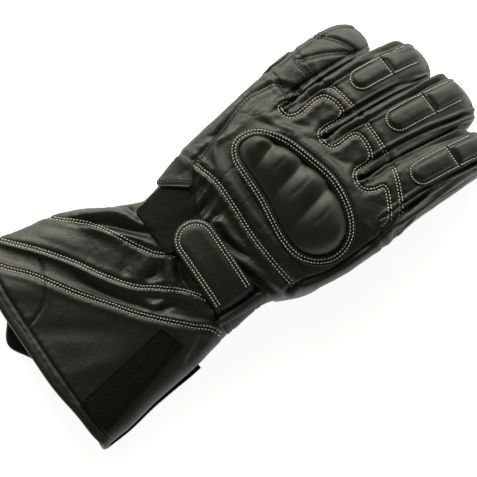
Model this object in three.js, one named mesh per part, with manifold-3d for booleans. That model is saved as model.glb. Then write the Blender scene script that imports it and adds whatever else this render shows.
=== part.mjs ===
// A padded leather gauntlet motorcycle glove for the left hand, lying palm down.
// Millimetres, +Z up, fingertips towards +Y, thumb side towards +X.
import * as THREE from 'three';
import { mergeVertices } from 'three/addons/utils/BufferGeometryUtils.js';
import Module from 'manifold-3d';

const wasm = await Module();
wasm.setup();

// Driving dimensions
const WALL = 2.2;             // leather with its padding and lining
const GAP = 0.3;              // kept between neighbouring pieces
const HEM_BAND = 5.5;         // width of the folded edge at the open end
const HEM_PROUD = 0.7;        // the folded edge is thicker than the wall by this on each side
const BELLOWS_DROP = 1.6;     // the bellows panel lies this much below its neighbours
const FOLD_DEPTH = 1.1;       // gathers across the wrist
const FOLD_PITCH = 13;
const FOLD_FROM = -64;
const FOLD_TO = -12;
const INSIDE_SIDES = 16;      // facets round the hollow of the hand and cuff
const HAND_SIDES = 24;        // facets round the hand and cuff
const FINGER_SIDES = 12;      // facets round a finger
const BORE_SIDES = 10;        // facets round its hollow
const OUTSIDE_STEP = 20;      // between cross-sections along a finger
const INSIDE_STEP = 30;
const CUFF_STATIONS = [-162, -138, -115, -95, -78];      // cross-sections of the cuff,
const WRIST_STATIONS = [-64, -52, -40, -28, -16];        // of the plain wrist
const BACK_STATIONS = [-2, 14, 34, 54, 84];              // and of the hand
const OUTSIDE_DOME = [0, 32, 58, 78];                    // degrees up a fingertip's dome
const INSIDE_DOME = [0, 45, 78];
const PAD_THICK = 2.6;
const PATCH_THICK = 1.3;
const STRAP_THICK = 2.3;
const TRIM_THICK = 1.5;
const KEEPER_THICK = 1.8;
const KEEPER_LEG = 3.2;
const PATCH_LOW = FOLD_DEPTH + GAP;              // the wrist's layers lie on top of its gathers
const STRAP_LOW = PATCH_LOW + PATCH_THICK + GAP;
const GUARD_HEIGHT = 5.5;     // of the guard's skirt above the hand
const KNUCKLE_HEIGHT = 4.2;   // of each knuckle bump above the skirt
const SQUARENESS = 2.35;      // exponent of the rounded cross-sections
const TIP_SQUARENESS = 2.4;   // and of the dome that closes a fingertip
const LOWEST = -20;           // cutting prisms reach from here
const HIGHEST = 90;           // to here
const REACH = 100;            // and sideways this far
const SLIVER = 0.5;           // cubic millimetres
const FIELD = [[-90, -200], [90, -200], [90, 200], [-90, 200]];   // a rectangle wider than the glove

// Cross-sections of the hand and cuff along the glove
const HAND = [
  { y: -162, left: -77.5, right: 72.5, low: -1.6, top: 33 },
  { y: -145, left: -75, right: 70.5, low: -1.6, top: 34 },
  { y: -129, left: -71.5, right: 69, low: -1.6, top: 35 },
  { y: -111, left: -68, right: 65.5, low: -1.4, top: 36.5 },
  { y: -95, left: -64.5, right: 63.5, low: -0.6, top: 38.5 },
  { y: -80, left: -58, right: 62, low: 1.2, top: 41 },
  { y: -67, left: -49.5, right: 59.8, low: 3.5, top: 43 },
  { y: -54, left: -43, right: 56.8, low: 5.5, top: 44 },
  { y: -42, left: -41, right: 53.8, low: 7, top: 44.5 },
  { y: -30, left: -44, right: 52.5, low: 8.5, top: 45.5 },
  { y: -16, left: -50, right: 55.2, low: 10.5, top: 47.5 },
  { y: -5, left: -53, right: 60, low: 13, top: 50 },
  { y: 8, left: -55, right: 64.5, low: 16, top: 52 },
  { y: 22, left: -56.5, right: 67.2, low: 19, top: 53.5 },
  { y: 38, left: -59, right: 67.6, low: 21, top: 54 },
  { y: 54, left: -61.5, right: 66.8, low: 22.5, top: 52.5 },
  { y: 68, left: -63.5, right: 65.5, low: 23.5, top: 50.5 },
  { y: 84, left: -65, right: 63.5, low: 24, top: 48 },
];

// Cross-sections of each finger and the thumb, before the tip is rounded
const DIGITS = {
  little: {
    tip: 126, round: 15,
    rows: [
      { y: 44, left: -60.5, right: -37, low: 23, top: 44 },
      { y: 60, left: -63, right: -37.5, low: 21.5, top: 45 },
      { y: 79, left: -65.8, right: -40, low: 17, top: 42.5 },
      { y: 97, left: -68.6, right: -41.2, low: 10, top: 36.5 },
      { y: 111, left: -69, right: -41.4, low: 0.5, top: 29.5 },
      { y: 124, left: -68, right: -41.4, low: -5, top: 22 },
    ],
  },
  ring: {
    tip: 149, round: 17,
    rows: [
      { y: 44, left: -35, right: -7, low: 24, top: 49.5 },
      { y: 58, left: -35.5, right: -7.6, low: 23.5, top: 50.5 },
      { y: 75, left: -37, right: -8, low: 22, top: 49.5 },
      { y: 95, left: -38.4, right: -8.2, low: 18.5, top: 46 },
      { y: 116, left: -39.6, right: -7.9, low: 11.5, top: 39 },
      { y: 131, left: -39.4, right: -7.6, low: 1.5, top: 31 },
      { y: 147, left: -38.6, right: -7.4, low: -5, top: 22 },
    ],
  },
  middle: {
    tip: 157, round: 15,
    rows: [
      { y: 46, left: -4.6, right: 24.6, low: 24.5, top: 50.5 },
      { y: 64, left: -4.8, right: 25, low: 24, top: 51.5 },
      { y: 80, left: -5.4, right: 25.6, low: 22.5, top: 50.5 },
      { y: 98, left: -6.1, right: 26.2, low: 19, top: 47.5 },
      { y: 118, left: -6.7, right: 27.2, low: 12.5, top: 41 },
      { y: 137, left: -6.8, right: 28, low: 2, top: 31.5 },
      { y: 155, left: -6.8, right: 28.2, low: -5, top: 22 },
    ],
  },
  index: {
    tip: 148.5, round: 16,
    rows: [
      { y: 50, left: 27.5, right: 66, low: 24.5, top: 49 },
      { y: 66, left: 28, right: 65, low: 24, top: 50 },
      { y: 80, left: 28.4, right: 63.6, low: 22.5, top: 49 },
      { y: 94, left: 28.8, right: 62.8, low: 19.5, top: 46.5 },
      { y: 112, left: 29.7, right: 60.8, low: 13.5, top: 41 },
      { y: 130, left: 30.8, right: 58.5, low: 3, top: 32.5 },
      { y: 149, left: 31.6, right: 57, low: -5, top: 22 },
    ],
  },
  thumb: {
    tip: 82, round: 14,
    rows: [
      { y: -16, left: 34, right: 55, low: 14, top: 36 },
      { y: 2, left: 30, right: 60.5, low: 6.5, top: 33 },
      { y: 20, left: 27, right: 60, low: 1, top: 27 },
      { y: 40, left: 23, right: 53.5, low: -1.5, top: 21.5 },
      { y: 60, left: 20.5, right: 49.5, low: -1.5, top: 20 },
      { y: 82, left: 20, right: 47.5, low: -1.5, top: 18.5 },
    ],
  },
};

// The height at which the back of the glove meets its underside, along the glove
const SIDE_SEAM = [
  [-200, 16], [-120, 17], [-60, 24], [-20, 28], [20, 35], [60, 36], [95, 32], [125, 22], [160, 9],
];

// Seams seen from above, each from the little finger's side to the thumb's side
const HEM_BULGE = 7;
const HEM_Y = -156;
const CUFF_LINE_3 = [
  [-80, -155], [-55, -141], [-37, -127], [-14, -113], [4, -100], [23, -86], [42, -68], [53, -56],
  [80, -44],
];
const CUFF_LINE_2 = [
  [-80, -137], [-65, -128], [-49, -116], [-31, -104], [-13, -94], [4, -82], [15, -69], [34, -52],
  [80, -36],
];
const CUFF_LINE_1 = [
  [-80, -108], [-60, -96], [-45, -82], [-29, -74], [-15, -67], [-5, -61], [6, -50], [34, -36], [80, -30],
];
const WRIST_LINE = [
  [-80, -20], [-35, -10], [-20, -7], [-2, -7], [17, -8], [34, -7], [49, -5], [63, -2], [80, 2],
];
const CROTCH_LINE = [
  [-90, 64], [-58, 60], [-36.5, 55.5], [-22, 59], [-6.3, 65.5], [10, 68], [26.7, 70], [46, 76], [90, 84],
];
const ZIGZAG = [
  [-90, 59], [-41, 58.5], [-39.5, 52], [-35, 49.5], [-29, 51], [-27, 57], [-28, 76], [-13, 79.5],
  [-11.5, 64], [-8, 59.5], [-2, 59.5], [2.5, 64], [3, 79], [19, 78], [21, 66], [26, 61.5],
  [33, 62], [37.5, 68], [39, 74], [48, 71], [57, 65], [62, 56], [90, 52],
];
const BASE_LINE = [
  [-90, 80], [-36, 80], [-30, 84], [-9, 87.5], [2, 87.5], [23, 87], [33, 85], [45, 80.5], [57, 73.5],
  [64, 64], [90, 50],
];
const BACK_EDGE = [
  [80, -200], [80, -20], [58, -12], [57, 0], [61, 14], [62.5, 30], [61.5, 52], [60, 66], [56, 90],
  [54, 110], [52, 170],
];
const WRIST_UNDER = [[-90, -48], [90, -48]];     // where the palm meets the cuff's underside

// The lines that keep each finger's leather apart from the next finger's
const SPLITS = [
  [[-36.4, 40], [-37, 60], [-40.5, 110], [-40.6, 200]],
  [[-6.3, 40], [-6.4, 60], [-7.3, 130], [-7.2, 200]],
  [[26.3, 40], [26.6, 60], [28.5, 110], [29.6, 200]],
];

// Outlines seen from above
const SIDE_PANEL = [
  [-90, -8], [-39, -8], [-43, 6], [-51, 28], [-54, 39], [-53, 48], [-50, 57], [-44.5, 63], [-42, 70],
  [-44, 77], [-57, 76.5], [-55.5, 85], [-51, 98], [-47, 112], [-55, 108], [-62, 102], [-66, 96.5],
  [-90, 90],
];
const FINGER_BACKS = {
  ring: [
    [-33, 70], [-32.6, 88], [-34, 108], [-33, 123], [-31.5, 135], [-30.5, 160], [-10.5, 160],
    [-9.8, 135], [-11, 116], [-11, 70],
  ],
  middle: [
    [-2.5, 70], [-1, 84], [-0.5, 100], [-1, 120], [-3, 137], [-3.5, 170], [25, 170], [23.4, 137],
    [22, 120], [21, 95], [20.6, 70],
  ],
  index: [
    [30.5, 60], [30.5, 88], [31.3, 109], [32.5, 129], [34, 160], [53.5, 160], [53, 110], [52.5, 92],
    [54, 60],
  ],
};
const FINGER_PADS = [
  { finger: 'ring', start: [-25, 94.5], end: [-26, 144.5], cross: 121.5, half: 7.2 },
  { finger: 'middle', start: [8.5, 97.5], end: [8, 153.5], cross: 129, half: 7.8 },
  { finger: 'index', start: [43.8, 90.5], end: [43.8, 144], cross: 121.5, half: 7.6 },
];
// The guard's two edges: y is the place across the hand here, near the edge towards the wrist
const GUARD = [
  { y: -30.5, near: 18.5, far: 24 },
  { y: -28, near: 15.2, far: 29 },
  { y: -22, near: 12.8, far: 33.2 },
  { y: -12, near: 12.4, far: 38.2 },
  { y: 4, near: 12, far: 43 },
  { y: 18, near: 10.2, far: 46.2 },
  { y: 32, near: 8.8, far: 45.6 },
  { y: 43, near: 10.4, far: 42.6 },
  { y: 50, near: 15.5, far: 38 },
  { y: 54, near: 23, far: 30.5 },
];
const VALLEYS = [
  { x: -14.5, half: 4, depth: 0.85, lean: 6 },
  { x: 5.5, half: 4.6, depth: 0.85, lean: 7 },
  { x: 27, half: 5, depth: 0.8, lean: 9 },
];
const GUARD_END = 9;
const GUARD_EDGE = 1;
const GUARD_STATIONS = 18;
const GUARD_ACROSS = 8;
const GUARD_ARCH = 2.8;        // exponents of the guard's rounded crossing and of its knuckles' rise
const GUARD_SHOULDER = 0.6;
const KNUCKLE_RISE = 0.7;
const PAD_STEP_IN = 1.1;       // a pad's crown is this much smaller than its foot on each side
const PAD_CROSS = 0.4;         // half the slot between a pad's two sections
const TRIM_WIDTH = 5.4;        // the stitched flange round the guard, out to here
const TRIM_CLEAR = 0.9;        // and in to here
const CUFF_PATCH = [[42.5, -146.3], [33, -82], [49.5, -76.5], [65.5, -143]];
const WRIST_PATCH = [[-38, -34], [-34, -56], [1, -56], [2, -30], [-25, -20]];
const END_TAB = [[-41, -34.5], [-46, -18], [-45, -12.5], [-36, -12], [-25, -20.5], [-37, -35]];
const STRAP_TIP = { x: 3, y: -37.5, radius: 13.2 };
const STRAP_ROOT = 18;        // the strap is sewn to the underside here
const KEEPER_X = [46.5, 52];
const SIDE_PAD = { y: 67, z: 33.5, half_y: 12, half_z: 7.5, thick: 1.4 };
const FLAP = {
  from: -147, to: -74, start: -58, end: -22, rows: 6, columns: 5, reach: 3.2, thick: 2.2, lift: 3,
};

// Smooth values between the rows of a table, by finite difference tangents
function blend(table, y, column) {
  const last = table.length - 1;
  let k = 0;
  while (k < last - 1 && y > table[k + 1].y) k += 1;
  const slope = (i) => {
    const a = table[Math.max(i - 1, 0)];
    const b = table[Math.min(i + 1, last)];
    return (b[column] - a[column]) / (b.y - a.y);
  };
  const a = table[k];
  const b = table[k + 1];
  const span = b.y - a.y;
  const t = Math.min(Math.max((y - a.y) / span, 0), 1);
  const t2 = t * t;
  const t3 = t2 * t;
  return (2 * t3 - 3 * t2 + 1) * a[column] + (t3 - 2 * t2 + t) * span * slope(k)
    + (3 * t2 - 2 * t3) * b[column] + (t3 - t2) * span * slope(k + 1);
}

// Gathers of the wrist, deepest halfway along it
function gather(y) {
  if (y < FOLD_FROM || y > FOLD_TO) return 0;
  const along = (y - FOLD_FROM) / (FOLD_TO - FOLD_FROM);
  return FOLD_DEPTH * Math.sin(Math.PI * along) * Math.cos((2 * Math.PI * (y - FOLD_FROM)) / FOLD_PITCH);
}

// Half sizes and centre of a form's cross-section at y, grown outwards by grow
function section(form, y, grow) {
  const left = blend(form.rows, y, 'left');
  const right = blend(form.rows, y, 'right');
  const low = blend(form.rows, y, 'low');
  const top = blend(form.rows, y, 'top');
  let close = 1;
  if (form.tip !== undefined) {
    const reach = form.round + grow;
    const into = Math.min(Math.max((y - (form.tip + grow - reach)) / reach, 0), 1);
    close = (1 - into ** TIP_SQUARENESS) ** (1 / TIP_SQUARENESS);
  }
  const puff = form.gathers && grow >= 0 ? gather(y) : 0;
  return {
    x: (left + right) / 2,
    z: (low + top) / 2,
    half_x: ((right - left) / 2 + grow) * close,
    half_z: ((top - low) / 2 + grow + puff) * close,
  };
}

function ring(form, y, grow, sides) {
  const cut = section(form, y, grow);
  const power = 2 / SQUARENESS;
  return Array.from({ length: sides }, (_, i) => {
    const angle = (2 * Math.PI * i) / sides;
    const c = Math.cos(angle);
    const s = Math.sin(angle);
    return [
      cut.x + cut.half_x * Math.sign(c) * Math.abs(c) ** power,
      y,
      cut.z + cut.half_z * Math.sign(s) * Math.abs(s) ** power,
    ];
  });
}

function geometryOf(points, faces) {
  const geometry = new THREE.BufferGeometry();
  geometry.setAttribute('position', new THREE.BufferAttribute(new Float32Array(points.flat()), 3));
  geometry.setIndex(faces);
  return geometry;
}

// A closed body through rings of equal length, with a fan over each end
function skinned(rings) {
  const sides = rings[0].length;
  const middle = (loop) => [0, 1, 2].map((k) => loop.reduce((sum, p) => sum + p[k], 0) / sides);
  const points = rings.flat();
  const first = points.length;
  points.push(middle(rings[0]), middle(rings[rings.length - 1]));
  const faces = [];
  for (let i = 0; i < sides; i += 1) {
    const j = (i + 1) % sides;
    const end = (rings.length - 1) * sides;
    faces.push(first, i, j, first + 1, end + j, end + i);
    for (let k = 0; k < rings.length - 1; k += 1) {
      const a = k * sides;
      const b = a + sides;
      faces.push(a + i, b + i, b + j, a + i, b + j, a + j);
    }
  }
  return geometryOf(points, faces);
}

function solid(geometry) {
  geometry.deleteAttribute('normal');
  geometry.deleteAttribute('uv');
  const merged = mergeVertices(geometry, 1e-4);
  return new wasm.Manifold(new wasm.Mesh({
    numProp: 3,
    vertProperties: merged.attributes.position.array,
    triVerts: new Uint32Array(merged.index.array),
  }));
}

function joined(solids) {
  return solids.reduce((whole, piece) => whole.add(piece));
}

// The rows of a form at which it is cut into facets: closer at the wrist's folds and at a tip
function stations(form, grow) {
  if (form.tip === undefined) {
    if (!form.gathers || grow < 0) return [...CUFF_STATIONS, ...WRIST_STATIONS, ...BACK_STATIONS];
    const folds = [];
    for (let y = FOLD_FROM; y <= FOLD_TO + 0.01; y += FOLD_PITCH / 3) folds.push(y);
    return [...CUFF_STATIONS, ...folds, ...BACK_STATIONS];
  }
  const root = form.rows[0].y;
  const shoulder = form.tip - form.round;
  const steps = Math.round((shoulder - root) / (grow < 0 ? INSIDE_STEP : OUTSIDE_STEP));
  const along = Array.from({ length: steps }, (_, k) => root + ((shoulder - root) * k) / steps);
  const caps = grow < 0 ? INSIDE_DOME : OUTSIDE_DOME;
  const dome = caps.map((deg) => shoulder + (form.round + grow) * Math.sin((deg * Math.PI) / 180));
  return [...along, ...dome];
}

function formBody(form, grow) {
  const isHand = form.tip === undefined;
  const outer = isHand ? HAND_SIDES : FINGER_SIDES;
  const inner = isHand ? INSIDE_SIDES : BORE_SIDES;
  const sides = grow > -WALL ? outer : inner;
  return solid(skinned(stations(form, grow).map((y) => ring(form, y, grow, sides))));
}

// A prism over an outline seen from above
function prism(outline, low = LOWEST, high = HIGHEST) {
  const shape = new THREE.Shape(outline.map(([x, y]) => new THREE.Vector2(x, y)));
  const geometry = new THREE.ExtrudeGeometry(shape, { depth: high - low, bevelEnabled: false });
  return solid(geometry.translate(0, 0, low));
}

// A prism over an outline drawn in the plane of Y and Z, across the whole glove
function slab(outline) {
  const shape = new THREE.Shape(outline.map(([y, z]) => new THREE.Vector2(y, z)));
  const geometry = new THREE.ExtrudeGeometry(shape, { depth: 200, bevelEnabled: false });
  const turn = new THREE.Matrix4().set(0, 0, 1, -100, 1, 0, 0, 0, 0, 1, 0, 0, 0, 0, 0, 1);
  return solid(geometry.applyMatrix4(turn));
}

// A line moved sideways by a distance, to the left of its direction when positive
function moved(line, distance) {
  return line.map((p, i) => {
    const a = line[Math.max(i - 1, 0)];
    const b = line[Math.min(i + 1, line.length - 1)];
    const length = Math.hypot(b[0] - a[0], b[1] - a[1]);
    return [p[0] - ((b[1] - a[1]) / length) * distance, p[1] + ((b[0] - a[0]) / length) * distance];
  });
}

function smooth(line, steps) {
  const curve = new THREE.SplineCurve(line.map(([x, y]) => new THREE.Vector2(x, y)));
  return curve.getPoints(steps).map((p) => [p.x, p.y]);
}

// The regions on the far and near side of a line that runs towards +X, moved by a margin
function beyond(line, margin) {
  const edge = moved(line, margin);
  const [first, last] = [edge[0], edge[edge.length - 1]];
  return prism([[-REACH, first[1]], ...edge, [REACH, last[1]], [REACH, REACH * 2], [-REACH, REACH * 2]]);
}

function before(line, margin) {
  const edge = moved(line, -margin);
  const [first, last] = [edge[0], edge[edge.length - 1]];
  const front = [[-REACH, -REACH * 2], [REACH, -REACH * 2], [REACH, last[1]]];
  return prism([...front, ...edge.reverse(), [-REACH, first[1]]]);
}

// The region between two such lines, kept half a gap clear of each
function between(lower, upper) {
  return beyond(lower, GAP / 2).intersect(before(upper, GAP / 2));
}

// A closed outline made smaller (or larger when negative) by an even margin
function inset(outline, margin) {
  const count = outline.length;
  const turning = outline.reduce((sum, p, i) => {
    const q = outline[(i + 1) % count];
    return sum + p[0] * q[1] - q[0] * p[1];
  }, 0);
  const sign = Math.sign(turning);
  return outline.map((p, i) => {
    const a = outline[(i + count - 1) % count];
    const b = outline[(i + 1) % count];
    const share = (sign * margin) / Math.hypot(b[0] - a[0], b[1] - a[1]);
    return [p[0] - share * (b[1] - a[1]), p[1] + share * (b[0] - a[0])];
  });
}

// Height of a form's upper surface over a point seen from above
function topOf(form, x, y) {
  const cut = section(form, y, 0);
  const across = Math.min(Math.abs(x - cut.x) / cut.half_x, 0.999);
  return cut.z + cut.half_z * (1 - across ** SQUARENESS) ** (1 / SQUARENESS);
}

// The whole glove's outside and its hollow
const hand = { rows: HAND, gathers: true };
const plainHand = { rows: HAND };
const crotch = smooth(CROTCH_LINE, 11);
const hemLine = Array.from({ length: 10 }, (_, i) => {
  const x = -90 + 20 * i;
  return [x, HEM_Y + HEM_BULGE * (x / 75) ** 2];
});
const aboveFloor = prism(FIELD, 0, HIGHEST);
const handOnly = (margin) => before(crotch, -margin);
const fingers = ['little', 'ring', 'middle', 'index'];
const fingerOuter = joined(fingers.map((name) => formBody(DIGITS[name], 0)));
const fingerInner = joined(fingers.map((name) => formBody(DIGITS[name], -WALL)));
const handOuter = formBody(hand, 0).intersect(handOnly(0));
const thumbOuter = formBody(DIGITS.thumb, 0);
const thumbInner = formBody(DIGITS.thumb, -WALL);
const hollow = joined([formBody(hand, -WALL).intersect(handOnly(-WALL)), fingerInner]);
const outside = joined([handOuter, fingerOuter]);
const shell = outside.subtract(hollow).intersect(aboveFloor);
const handShell = shell.subtract(thumbInner);

// Upper and lower halves, and the strip of the palm leather that wraps up the thumb side
const upper = slab([...moved(SIDE_SEAM, GAP / 2), [160, 120], [-200, 120]]);
const lower = slab([[-200, -60], [160, -60], ...moved(SIDE_SEAM, -GAP / 2).reverse()]);
const thumbStrip = prism([...moved(BACK_EDGE, -GAP / 2), [100, 170], [100, -200]]);
const backArea = prism([...moved(BACK_EDGE, GAP / 2), [-100, 170], [-100, -200]]);

// Panels of the cuff and hand
const hemEdge = moved(hemLine, HEM_BAND);
const line3 = smooth(CUFF_LINE_3, 10);
const line2 = smooth(CUFF_LINE_2, 10);
const line1 = smooth(CUFF_LINE_1, 10);
const wristLine = smooth(WRIST_LINE, 9);
const upperShell = shell.intersect(upper);
const wholeUpper = upper.intersect(backArea);
const besideSidePanel = prism(inset(SIDE_PANEL, -GAP)).intersect(upper);
const lowered = formBody(hand, -BELLOWS_DROP).subtract(formBody(hand, -BELLOWS_DROP - WALL));
const cuffFront = upperShell.intersect(between(hemEdge, line3));
const cuffBellows = lowered.intersect(aboveFloor).intersect(upper)
  .intersect(between(line3, line2))
  .intersect(beyond(hemEdge, GAP / 2));
const cuffMiddle = upperShell.intersect(between(line2, line1));
const wristPanel = upperShell.intersect(between(line1, wristLine));
const backLeather = upperShell.intersect(backArea).subtract(besideSidePanel);
const backPanel = backLeather.intersect(between(wristLine, ZIGZAG));
const cuffPalm = shell.intersect(lower).intersect(between(hemEdge, WRIST_UNDER));
const palmSide = lower.add(thumbStrip.intersect(beyond(wristLine, GAP / 2)));
const palmPanel = handShell.intersect(palmSide)
  .intersect(between(WRIST_UNDER, crotch))
  .subtract(besideSidePanel);
const outerSide = upperShell.intersect(prism(SIDE_PANEL));
const yoke = backLeather.intersect(between(ZIGZAG, BASE_LINE));

// Each finger: its own space between the neighbours, then the panel on its back
function fingerSpace(index) {
  const left = index === 0 ? [[-90, 40], [-90, 200]] : moved(SPLITS[index - 1], -GAP / 2);
  const right = index === 3 ? [[90, 40], [90, 200]] : moved(SPLITS[index], GAP / 2);
  return prism([...right, ...left.slice().reverse()]).intersect(beyond(crotch, GAP));
}

function fingerTube(name, index) {
  const tube = shell.intersect(fingerSpace(index))
    .subtract(besideSidePanel)
    .subtract(before(BASE_LINE, -GAP).intersect(wholeUpper));
  if (!FINGER_BACKS[name]) return tube;
  return tube.subtract(prism(inset(FINGER_BACKS[name], -GAP)).intersect(upper));
}

function fingerBack(name) {
  return upperShell.intersect(prism(FINGER_BACKS[name])).intersect(beyond(BASE_LINE, GAP));
}

// A layer that follows a form's surface between two heights above it
function layer(form, low, high) {
  return formBody(form, high).subtract(formBody(form, low));
}

// A flat piece sewn on top of a form, low above it
function patch(form, low, outline) {
  return layer(form, low, low + PATCH_THICK).intersect(prism(outline)).intersect(upper);
}

// A strip with a round start, swept from one point to another
function stripOutline(start, end, half, from, to) {
  const along = new THREE.Vector2(end[0] - start[0], end[1] - start[1]).normalize();
  const side = new THREE.Vector2(along.y, -along.x);
  const at = (distance, offset) => [
    start[0] + along.x * distance + side.x * offset,
    start[1] + along.y * distance + side.y * offset,
  ];
  const points = [at(to, -half), at(to, half)].reverse();
  if (from > 0) return [...points, at(from, -half), at(from, half)];
  const round = Array.from({ length: 7 }, (_, i) => {
    const angle = -Math.PI / 2 + (Math.PI * i) / 6;
    return at(half - half * Math.cos(angle), half * Math.sin(angle));
  });
  return [...points, ...round];
}

function fingerPad(pad, part) {
  const form = DIGITS[pad.finger];
  const total = Math.hypot(pad.end[0] - pad.start[0], pad.end[1] - pad.start[1]);
  const cross = pad.cross - pad.start[1];
  const outline = part === 'base'
    ? stripOutline(pad.start, pad.end, pad.half, 0, cross - PAD_CROSS)
    : stripOutline(pad.start, pad.end, pad.half, cross + PAD_CROSS, total);
  const foot = layer(form, GAP, PAD_THICK * 0.6).intersect(prism(outline));
  const crown = layer(form, PAD_THICK * 0.5, PAD_THICK).intersect(prism(inset(outline, PAD_STEP_IN)));
  return foot.add(crown).intersect(wholeUpper);
}

// The knuckle guard: a rounded skirt whose crest swells into four knuckles with valleys between them.
// along runs over the table's rows, across from the wrist's edge (0) to the fingers' edge (1).
function guardHeight(x, across) {
  const last = GUARD[GUARD.length - 1].y;
  const ends = Math.min(1, (x - GUARD[0].y) / GUARD_END, (last - x) / GUARD_END);
  const rise = Math.sqrt(Math.max(0, 1 - (1 - Math.max(ends, 0)) ** 2));
  const arch = (1 - Math.abs(2 * across - 1) ** GUARD_ARCH) ** GUARD_SHOULDER;
  const valley = VALLEYS.reduce((deepest, v) => {
    const away = (x - v.x - v.lean * (0.5 - across)) / v.half;
    return Math.max(deepest, v.depth * Math.exp(-(away ** 2)));
  }, 0);
  const crest = GUARD_HEIGHT + KNUCKLE_HEIGHT * across ** KNUCKLE_RISE * (1 - valley);
  return GUARD_EDGE + crest * arch * rise;
}

function guardBody() {
  const rings = [];
  const first = GUARD[0].y;
  const length = GUARD[GUARD.length - 1].y - first;
  for (let k = 0; k <= GUARD_STATIONS; k += 1) {
    const even = k / GUARD_STATIONS;
    const x = first + length * (0.65 * even + 0.35 * (1 - Math.cos(Math.PI * even)) / 2);
    const near = blend(GUARD, x, 'near');
    const far = blend(GUARD, x, 'far');
    const over = [];
    const under = [];
    for (let i = 0; i <= GUARD_ACROSS; i += 1) {
      const across = (1 - Math.cos((Math.PI * i) / GUARD_ACROSS)) / 2;
      const y = near + (far - near) * across;
      const base = topOf(plainHand, x, y);
      over.push([x, y, base + guardHeight(x, across)]);
      if (i % 2 === 0) under.push([x, y, base + GAP]);
    }
    rings.push([...over, ...under.reverse()]);
  }
  return solid(skinned(rings));
}

function guardTrim() {
  const nearEdge = GUARD.map((row) => [row.y, row.near]);
  const farEdge = GUARD.map((row) => [row.y, row.far]);
  const outline = [...nearEdge, ...farEdge.reverse()];
  const rim = prism(inset(outline, -TRIM_WIDTH)).subtract(prism(inset(outline, -TRIM_CLEAR)));
  return layer(plainHand, GAP, GAP + TRIM_THICK).intersect(rim).intersect(upper);
}

// A prism across the wrist, as wide on each side of the strap's middle as half
function band(from, to, half) {
  const { y } = STRAP_TIP;
  return prism([[from, y - half], [to, y - half], [to, y + half], [from, y + half]]);
}

// The strap goes over the wrist from its rounded tip and round the thumb side to the palm
function strapBody() {
  const { x, y, radius } = STRAP_TIP;
  const tip = Array.from({ length: 9 }, (_, i) => {
    const angle = Math.PI / 2 + (Math.PI * i) / 8;
    return [x + radius * Math.cos(angle), y + radius * Math.sin(angle)];
  });
  const over = prism([...tip, [REACH, y - radius], [REACH, y + radius]]).intersect(upper);
  const under = band(STRAP_ROOT, REACH, radius).subtract(upper);
  return layer(plainHand, STRAP_LOW, STRAP_LOW + STRAP_THICK).intersect(over.add(under));
}

function keeperBody() {
  const { radius } = STRAP_TIP;
  const [from, to] = KEEPER_X;
  const strapTop = STRAP_LOW + STRAP_THICK + GAP;
  const area = (half) => band(from, to, half).intersect(upper);
  const whole = layer(plainHand, PATCH_LOW, strapTop + KEEPER_THICK).intersect(area(radius + KEEPER_LEG));
  return whole.subtract(layer(plainHand, 0, strapTop).intersect(area(radius + GAP)));
}

function sidePad() {
  const count = 18;
  const outline = Array.from({ length: count }, (_, i) => {
    const angle = (2 * Math.PI * i) / count;
    return [
      SIDE_PAD.y + SIDE_PAD.half_y * Math.cos(angle),
      SIDE_PAD.z + SIDE_PAD.half_z * Math.sin(angle),
    ];
  });
  const grown = (grow) => formBody(hand, grow).add(formBody(DIGITS.little, grow));
  const cover = grown(GAP + SIDE_PAD.thick).subtract(grown(GAP));
  const leftHalf = prism([[-90, -200], [-30, -200], [-30, 200], [-90, 200]]);
  return cover.intersect(slab(outline)).intersect(leftHalf);
}

function hemBinding() {
  const around = formBody(hand, HEM_PROUD).subtract(formBody(hand, -WALL - HEM_PROUD));
  return around.intersect(between(moved(hemLine, -GAP / 2), hemEdge)).intersect(aboveFloor);
}

function closureFlap() {
  const rings = [];
  const power = 2 / SQUARENESS;
  for (let row = 0; row <= FLAP.rows; row += 1) {
    const y = FLAP.from + ((FLAP.to - FLAP.from) * row) / FLAP.rows;
    const inner = [];
    const outer = [];
    for (let k = 0; k <= FLAP.columns; k += 1) {
      const angle = ((FLAP.start + ((FLAP.end - FLAP.start) * k) / FLAP.columns) * Math.PI) / 180;
      const put = (grow) => {
        const cut = section(hand, y, grow);
        const c = Math.cos(angle) ** power;
        const s = Math.abs(Math.sin(angle)) ** power;
        return [cut.x + cut.half_x * c, y, cut.z - cut.half_z * s];
      };
      inner.push(put(HEM_PROUD + GAP));
      outer.push(put(HEM_PROUD + GAP + FLAP.thick));
    }
    const a = inner[inner.length - 1];
    const b = outer[outer.length - 1];
    inner.push([a[0] + FLAP.reach, y, a[2] + FLAP.lift]);
    outer.push([b[0] + FLAP.reach, y, b[2] + FLAP.lift]);
    rings.push([...outer, ...inner.reverse()]);
  }
  return solid(skinned(rings)).intersect(aboveFloor);
}

// Materials
const SKINS = {
  leather: { color: 0x23241f, roughness: 0.5, metalness: 0 },
  guard: { color: 0x262722, roughness: 0.42, metalness: 0 },
  stretch: { color: 0x1b1b19, roughness: 0.75, metalness: 0 },
  loop: { color: 0x141413, roughness: 0.95, metalness: 0 },
};

const group = new THREE.Group();

// A cut can leave a sliver beside a piece, so only the piece itself is kept
function put(name, body, skin) {
  const pieces = body.decompose().sort((a, b) => b.volume() - a.volume());
  const split = pieces.slice(1).some((piece) => piece.volume() > SLIVER);
  if (split) throw new Error(`${name} is in more than one piece`);
  const mesh = pieces[0].getMesh();
  const geometry = new THREE.BufferGeometry();
  geometry.setAttribute('position', new THREE.BufferAttribute(new Float32Array(mesh.vertProperties), 3));
  geometry.setIndex(new THREE.BufferAttribute(new Uint32Array(mesh.triVerts), 1));
  geometry.computeVertexNormals();
  const piece = new THREE.Mesh(geometry, new THREE.MeshStandardMaterial(SKINS[skin]));
  piece.name = name;
  group.add(piece);
}

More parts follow.
